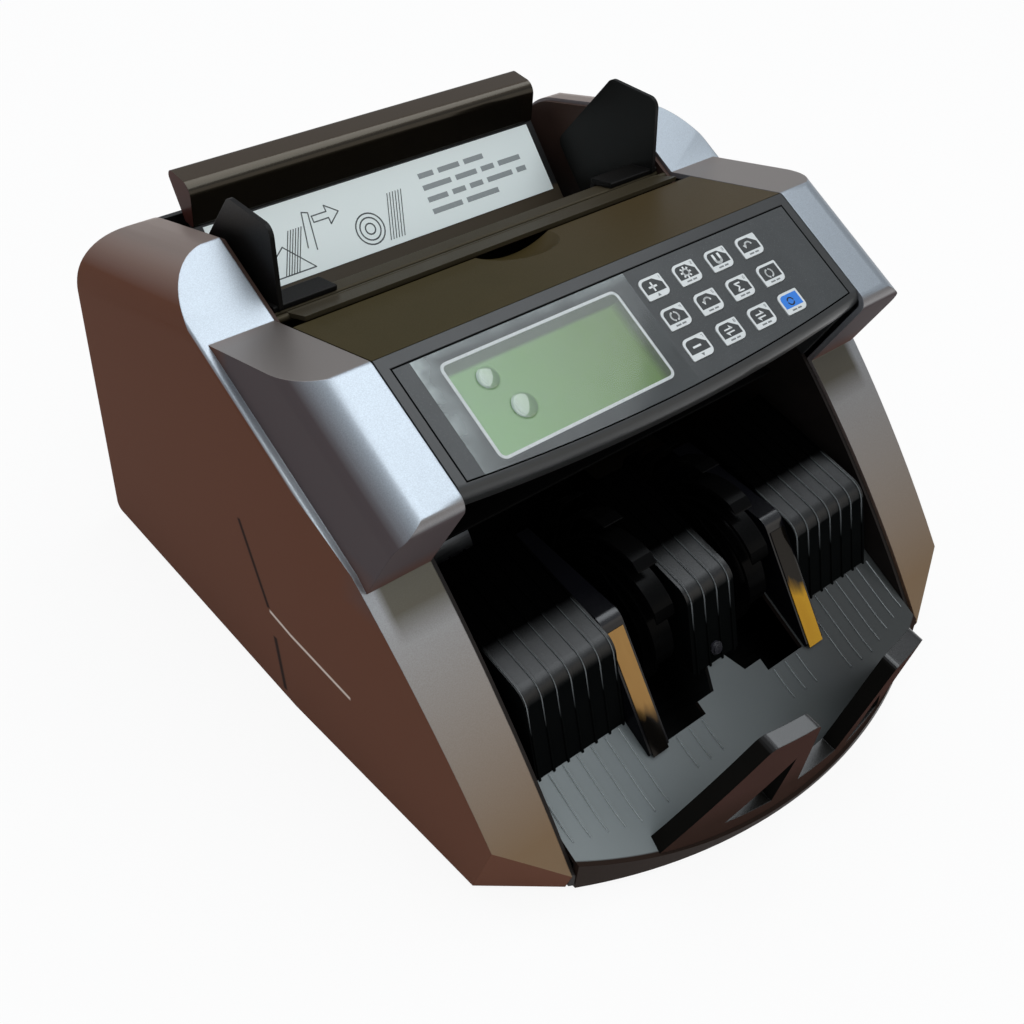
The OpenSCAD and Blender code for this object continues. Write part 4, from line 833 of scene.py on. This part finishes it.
# Head cover, flap and rail. Black moulded lids with a fine grain, painted olive brown as a painted reflection
# of warm light;
# the head cover is painted lighter and browner to the right as a painted sheen. The dish in front of the flap
# lets a finger lift it.
warm_shine = (1.0, 0.88, 0.66, 1.0)
painted_sheen_right = (0.060, 0.042, 0.018)
sheen_span_x = (-0.03, 0.07)
head_plastic = moulded("head plastic", (0.041, 0.031, 0.009), (0.050, 0.037, 0.012),
                       roughness=0.42, cell=0.3 * MM, depth=0.010 * MM, specular=0.12)
tree, shader, olive = opened(head_plastic)
# Lighter and browner towards the right: a painted sheen.
wire(shader, "Base Color", blended(ranged(spot(tree)[0], *sheen_span_x), olive, painted_sheen_right))
shader.inputs["Specular Tint"].default_value = warm_shine
reskin(head_plastic, "head_cover", sharp=20.0)
flap_plastic = moulded("flap plastic", (0.036, 0.029, 0.016), (0.046, 0.037, 0.022),
                       roughness=0.42, cell=0.3 * MM, depth=0.010 * MM, specular=0.22)
flap_plastic.node_tree.nodes["Principled BSDF"].inputs["Specular Tint"].default_value = warm_shine
reskin(flap_plastic, "feed_flap", "hopper_rail", sharp=20.0)

# Hopper. A sloping black plate with the pickup rollers behind it, a glossy hollow bar
# snapped over its top edge, and a pale label with pictures on how to lay the notes.
hopper_edge = (0.0, 0.14599, 0.1575)
hopper_lean = math.radians(46.0)


def on_hopper(x, s, n):
    """Points of the hopper plate, measured from the middle of its top edge."""
    return on_slope(hopper_edge, hopper_lean, x, s, n)


plate_dark = (0.010, 0.010, 0.010)
plate_pale = (0.020, 0.019, 0.018)
lower_plate_painted_brown = (0.060, 0.046, 0.030)
sill_z = (0.1335, 0.1325)
sill_plastic = moulded("sill plastic", plate_dark, plate_pale,
                       roughness=0.35, cell=0.4 * MM, depth=0.012 * MM, specular=0.2)
tree, shader, sill = opened(sill_plastic)
# Below the rail's edge the black plate is painted warm brown like the rail beside it: a painted reflection.
wire(shader, "Base Color", blended(ranged(spot(tree)[2], *sill_z), sill, lower_plate_painted_brown))
dress(sill_plastic, "hopper_plate")
path_plastic = moulded("path plastic", (0.004, 0.004, 0.004), (0.008, 0.008, 0.008),
                       roughness=0.6, cell=0.4 * MM, depth=0.012 * MM, specular=0.05)
dress(path_plastic, "path_plate", "upper_guide")

painted_bar_sheen = (0.040, 0.026, 0.015)
painted_end_reflection = (0.085, 0.030, 0.024)
bar_slope = (0.55, 0.95)
bar_sideways = (-0.6, -0.85)
bar_coat = 0.3
end_specular = 0.03
bar_plastic = moulded("bar plastic", (0.005, 0.004, 0.003), (0.008, 0.006, 0.004),
                      roughness=0.20, cell=0.6 * MM, depth=0.001 * MM, coat=bar_coat)
tree, shader, deep = opened(bar_plastic)
# Faces that look up are painted brown: a painted sheen; the end faces are painted red brown with little
# gloss: a painted reflection.
deep = blended(ranged(facing(tree)[2], *bar_slope), deep, painted_bar_sheen)
bar_end = ranged(facing(tree)[0], *bar_sideways)
wire(shader, "Base Color", blended(bar_end, deep, painted_end_reflection))
wire(shader, "Specular IOR Level", faded(bar_end, usual_specular, end_specular))
wire(shader, "Coat Weight", faded(bar_end, bar_coat, 0.0))
shader.inputs["Specular Tint"].default_value = warm_shine
reskin(bar_plastic, "hopper_bar", sharp=14.0)
guide_plastic = moulded("guide plastic", (0.005, 0.005, 0.005), (0.010, 0.009, 0.008),
                        roughness=0.38, cell=0.4 * MM, depth=0.004 * MM, specular=0.15)
reskin(guide_plastic, "left_guide", "right_guide", sharp=14.0)

word_gap = 3.0
word_height = 2.6
label_face = 0.33 * MM
label_paper = printed("label paper", (0.92, 0.99, 0.96), (0.94, 0.99, 0.97))
dress(label_paper, "hopper_label")
label_ink = printed("label ink", (0.06, 0.07, 0.07), (0.12, 0.13, 0.13))
label_grey = printed("label grey", (0.30, 0.33, 0.33), (0.36, 0.39, 0.39))


def words(left, s0, lengths):
    """A row of plain bars in place of words: one bar per length with even gaps."""
    s1 = s0 + word_height
    lefts = left + np.cumsum([0.0] + [length + word_gap for length in lengths[:-1]])
    rights = lefts + lengths
    return [np.array([(x0, s0), (x1, s0), (x1, s1), (x0, s1)]) for x0, x1 in zip(lefts, rights)]


rows_left = 20.0
label_rows = ((-10.5, (9, 13, 12)), (-16.5, (17, 13, 8, 14)), (-22.5, (12, 8, 8, 16, 6)), (-28.5, (18, 20)))
row_faces = [face for s0, lengths in label_rows for face in words(rows_left, s0, lengths)]
lay_print("label_rows", moved(row_faces, 0.0, 0.0), on_hopper, label_face, label_grey, "machine")
wheel_rings = [face for radius, steps in ((7.5, 30), (5.4, 26), (2.6, 18))
               for face in stroke(arc(-16, -25, radius, 0, 360, steps), 0.7)]
stack_lines = [face for k in range(6) for face in stroke([(-8 + 1.6 * k, -33), (1.6 * k, -12)], 0.5)]
stack_lines += [face for k in range(6) for face in stroke([(-66 + 1.4 * k, -33), (-56 + 1.4 * k, -14)], 0.5)]
feeder = stroke([(-80, -33), (-62, -20), (-50, -33), (-80, -33)], 0.6)
feeder += stroke([(-50, -24), (-46, -8), (-43, -9), (-46, -26)], 0.6)
arrow = stroke([(-42, -14), (-34, -14), (-34, -17), (-28, -12.5),
                (-34, -8), (-34, -11), (-42, -11), (-42, -14)], 0.6)
pictures = wheel_rings + stack_lines + feeder + arrow
lay_print("label_pictures", moved(pictures, 0.0, 0.0), on_hopper, label_face, label_ink, "machine")

# Feed. Ground steel shafts with ribbed rubber rollers turn in the frames;
# three flat belts outside the left frame join them to the motor.
rib_scale = 160.0
ground_steel = brushed("ground steel", (0.42, 0.42, 0.43), (0.60, 0.60, 0.61), roughness=0.25)
dress(ground_steel, "pickup_shaft", "feed_shaft", "stacker_shaft", "motor_pulley", "cover_screws")
roller_rubber, tree, shader = new_finish("roller rubber", roughness=0.75)
ribs = tree.nodes.new("ShaderNodeTexWave")
ribs.inputs["Scale"].default_value = rib_scale
ribs.inputs["Distortion"].default_value = 0.0
rib_place = tree.nodes.new("ShaderNodeTexCoord")
tree.links.new(rib_place.outputs["Object"], ribs.inputs["Vector"])
wire(shader, "Base Color", blended(ribs.outputs["Fac"], (0.02, 0.02, 0.02), (0.05, 0.048, 0.045)))
relief(shader, ribs.outputs["Fac"], depth=0.2 * MM)
dress(roller_rubber, "pickup_rollers", "feed_rollers", "motor_belt", "pickup_belt", "stacker_belt")

# Stacker. Three ribbed guide blocks, two fins with polished strips, and two black
# vaned wheels that lay each note down on the tray; all mirror most where they face up.
mirror_slope = (0.40, 0.80)
block_mirror = 0.6
wheel_mirror = 0.06
fin_mirror = (0.06, 0.8)
rib_slope = (-0.5, -0.7)
block_ends = (-0.103, -0.014, 0.0551)
end_gap = (0.0002, 0.0004)
block_lit_y = (-0.064, -0.072)
fin_lit_y = (-0.062, -0.070)
rib_z = (0.055, 0.068)
block_painted_shadow = (0.0008, 0.0008, 0.0008)
painted_rib_highlight = (0.50, 0.53, 0.53)
block_plastic = moulded("block plastic", (0.0025, 0.003, 0.003), (0.005, 0.0055, 0.0055),
                        roughness=0.30, cell=0.3 * MM, depth=0.006 * MM, edge=0.25 * MM)
tree, shader, black = opened(block_plastic)
at_x, at_y, at_z = spot(tree)
# Towards the back, under the panel, the blocks are painted darker: painted shadow.
in_light = ranged(at_y, *block_lit_y)
off_ends = [ranged(calc("ABSOLUTE", calc("SUBTRACT", at_x, end)), *end_gap) for end in block_ends]
# Rib sides that face the left are painted pale near the front: painted highlights, kept off the block ends.
rib_side = ranged(facing(tree, "True Normal")[0], *rib_slope)
rib_highlight_mask = calc("MULTIPLY", rib_side, *off_ends, ranged(at_z, *rib_z), in_light)
wire(shader, "Base Color", blended(rib_highlight_mask, blended(in_light, block_painted_shadow, black), painted_rib_highlight))
mirror = ranged(facing(tree)[2], *mirror_slope, end=block_mirror)
wire(shader, "Specular IOR Level", calc("MULTIPLY", mirror, in_light))
reskin(block_plastic, "stacker_guide", sharp=12.0)

wheel_plastic = moulded("wheel plastic", (0.0015, 0.0015, 0.0015), (0.003, 0.003, 0.003),
                        roughness=0.22, cell=0.5 * MM, depth=0.003 * MM)
tree, shader = opened(wheel_plastic)[:2]
wire(shader, "Specular IOR Level", ranged(facing(tree)[2], *mirror_slope, end=wheel_mirror))
reskin(wheel_plastic, "left_wheel", "right_wheel", sharp=16.0)

fin_plastic = moulded("fin plastic", (0.003, 0.003, 0.004), (0.006, 0.006, 0.008),
                      roughness=0.20, cell=0.5 * MM, depth=0.003 * MM)
tree, shader = opened(fin_plastic)[:2]
mirror = ranged(facing(tree)[2], *mirror_slope, *fin_mirror)
wire(shader, "Specular IOR Level", calc("MULTIPLY", mirror, ranged(spot(tree)[1], *fin_lit_y)))
reskin(fin_plastic, "left_fin", "right_fin", sharp=16.0)

painted_dark_reflection = (0.012, 0.010, 0.008)
reflection_warp_reach = 6.0 * MM
reflection_warp_span = (0.2, 0.8)
strip_roughness = (0.08, 0.2)
# Each polished strip is split by height along a wavy line into near black and gold: a painted reflection of
# dark and lit surroundings on the metal.
for strip, reflection_split_z, gold_dark, gold_pale in (
        ("left_strip", (0.038, 0.044), (0.30, 0.16, 0.045), (0.46, 0.27, 0.09)),
        ("right_strip", (0.052, 0.046), (0.42, 0.20, 0.006), (0.62, 0.36, 0.02))):
    strip_metal, tree, shader = new_finish("polished " + strip, roughness=0.14, metallic=0.6)
    scuff_and_reflection_warp = grain(tree, 9.0 * MM, detail=3.0, stretch=(1.0, 0.3, 0.3))
    reflection_height = calc("ADD", spot(tree)[2], ranged(scuff_and_reflection_warp, *reflection_warp_span, -reflection_warp_reach, reflection_warp_reach))
    mirrored = blended(scuff_and_reflection_warp, gold_dark, gold_pale)
    wire(shader, "Base Color", blended(ranged(reflection_height, *reflection_split_z), painted_dark_reflection, mirrored))
    wire(shader, "Roughness", ranged(scuff_and_reflection_warp, *noise_span, *strip_roughness))
    dress(strip_metal, strip)
sensor_window = moulded("sensor window", (0.02, 0.02, 0.025), (0.035, 0.033, 0.04),
                        roughness=0.12, cell=0.8 * MM, depth=0.002 * MM, coat=0.5)
reskin(sensor_window, "pocket_sensor")

# Tray and stop. A dark satin tray with pointed ribs, painted shade to the right, painted highlights on rib
# sides and a painted brown reflection on steep faces;
# the black stop with two open wings stands along its curved edge, its front painted red brown as a painted
# reflection.
tray_dark = (0.175, 0.200, 0.200)
tray_pale = (0.205, 0.230, 0.230)
painted_tray_shade = (0.034, 0.037, 0.036)
painted_steep_reflection = (0.026, 0.018, 0.015)
painted_tray_rib_highlight = (0.93, 0.98, 0.98)
tray_lip = (0.026, 0.016, 0.012)
tray_x = (-0.10, 0.055)
steep_slope = (0.45, 0.1)
tray_slope = panel_tilt
tray_height = 75.41 * MM
rib_height = (tray_height + 0.03 * MM, tray_height + 0.10 * MM)
lip_centre_y = 74.5 * MM
lip_radius = 233.2 * MM
lip_reach = (lip_radius - 0.3 * MM, lip_radius + 0.3 * MM)
lip_y = (0.0, -0.05)
lip_specular = 0.03
tray_roughness = (0.30, 0.46)
tray_plastic, tree, shader = new_finish("tray plastic", roughness=0.36)
at_x, at_y, at_z = spot(tree)
fine = grain(tree, 0.35 * MM)
steep = ranged(facing(tree)[2], *steep_slope)
tray_colour = blended(grain(tree, 22.0 * MM, detail=3.0), tray_dark, tray_pale)
# Darker towards the right: painted shade.
tray_colour = blended(ranged(at_x, *tray_x), tray_colour, painted_tray_shade)
# Steep faces are painted dark brown: a painted reflection.
tray_colour = blended(steep, tray_colour, painted_steep_reflection)
out_of_tray = scaled(at_z, math.cos(tray_slope), at_y, -math.sin(tray_slope))
# Rib sides that face the left are painted pale: painted highlights.
rib_side = calc("MULTIPLY", ranged(facing(tree, "True Normal")[0], *rib_slope),
                ranged(out_of_tray, *rib_height))
tray_colour = blended(rib_side, tray_colour, painted_tray_rib_highlight)
from_centre = calc("SUBTRACT", at_y, lip_centre_y)
reach = calc("SQRT", calc("ADD", calc("MULTIPLY", from_centre, from_centre), calc("MULTIPLY", at_x, at_x)))
front_lip = calc("MULTIPLY", ranged(reach, *lip_reach), ranged(at_y, *lip_y))
wire(shader, "Base Color", blended(front_lip, tray_colour, tray_lip))
wire(shader, "Specular IOR Level", faded(calc("MAXIMUM", steep, front_lip), usual_specular, lip_specular))
wire(shader, "Roughness", ranged(fine, *noise_span, *tray_roughness))
relief(shader, fine, depth=0.008 * MM, edge=0.3 * MM)
reskin(tray_plastic, "stacker_tray", sharp=6.0)

stop_low = (0.048, 0.027, 0.021)
stop_low_z = (0.045, 0.025)
front_slope = (-0.55, -0.8)
stop_mirror_slope = (0.58, 0.97)
stop_mirror = 0.9
stop_plastic, tree, shader = new_finish("stop plastic", roughness=0.26)
cloud = grain(tree, 20.0 * MM, detail=3.0)
stop_dark = blended(cloud, (0.006, 0.006, 0.005), (0.010, 0.009, 0.008))
# Front faces are painted red brown, darker towards the bottom: a painted reflection on black plastic.
painted_front_reflection = blended(cloud, (0.064, 0.034, 0.028), (0.076, 0.040, 0.033))
painted_front_reflection = blended(ranged(spot(tree)[2], *stop_low_z), painted_front_reflection, stop_low)
wire(shader, "Base Color", blended(ranged(facing(tree)[1], *front_slope), stop_dark, painted_front_reflection))
wire(shader, "Specular IOR Level", ranged(facing(tree)[2], *stop_mirror_slope, end=stop_mirror))
relief(shader, grain(tree, 0.4 * MM), depth=0.006 * MM, edge=0.5 * MM)
reskin(stop_plastic, "front_stop", sharp=14.0)

# Back. A black rear panel with vents and the mains inlet beside its rocker switch,
# moulded in the hopper's black; the rocker is red.
rear_plastic = moulded("hopper plastic", plate_dark, plate_pale,
                       roughness=0.35, cell=0.4 * MM, depth=0.012 * MM)
dress(rear_plastic, "rear_panel", "power_inlet")
rocker_plastic = moulded("rocker plastic", (0.20, 0.012, 0.010), (0.26, 0.02, 0.016),
                         roughness=0.25, cell=0.5 * MM, depth=0.004 * MM, coat=0.3)
dress(rocker_plastic, "power_rocker")

# Inside. A wound transformer and the main motor stand on the floor plate.
motor_can = brushed("motor can", (0.28, 0.29, 0.30), (0.38, 0.39, 0.40), roughness=0.35)
dress(motor_can, "main_motor")
varnished_core = moulded("varnished core", (0.010, 0.008, 0.006), (0.018, 0.014, 0.010),
                         roughness=0.5, cell=0.6 * MM, depth=0.02 * MM, specular=0.1)
dress(varnished_core, "transformer")
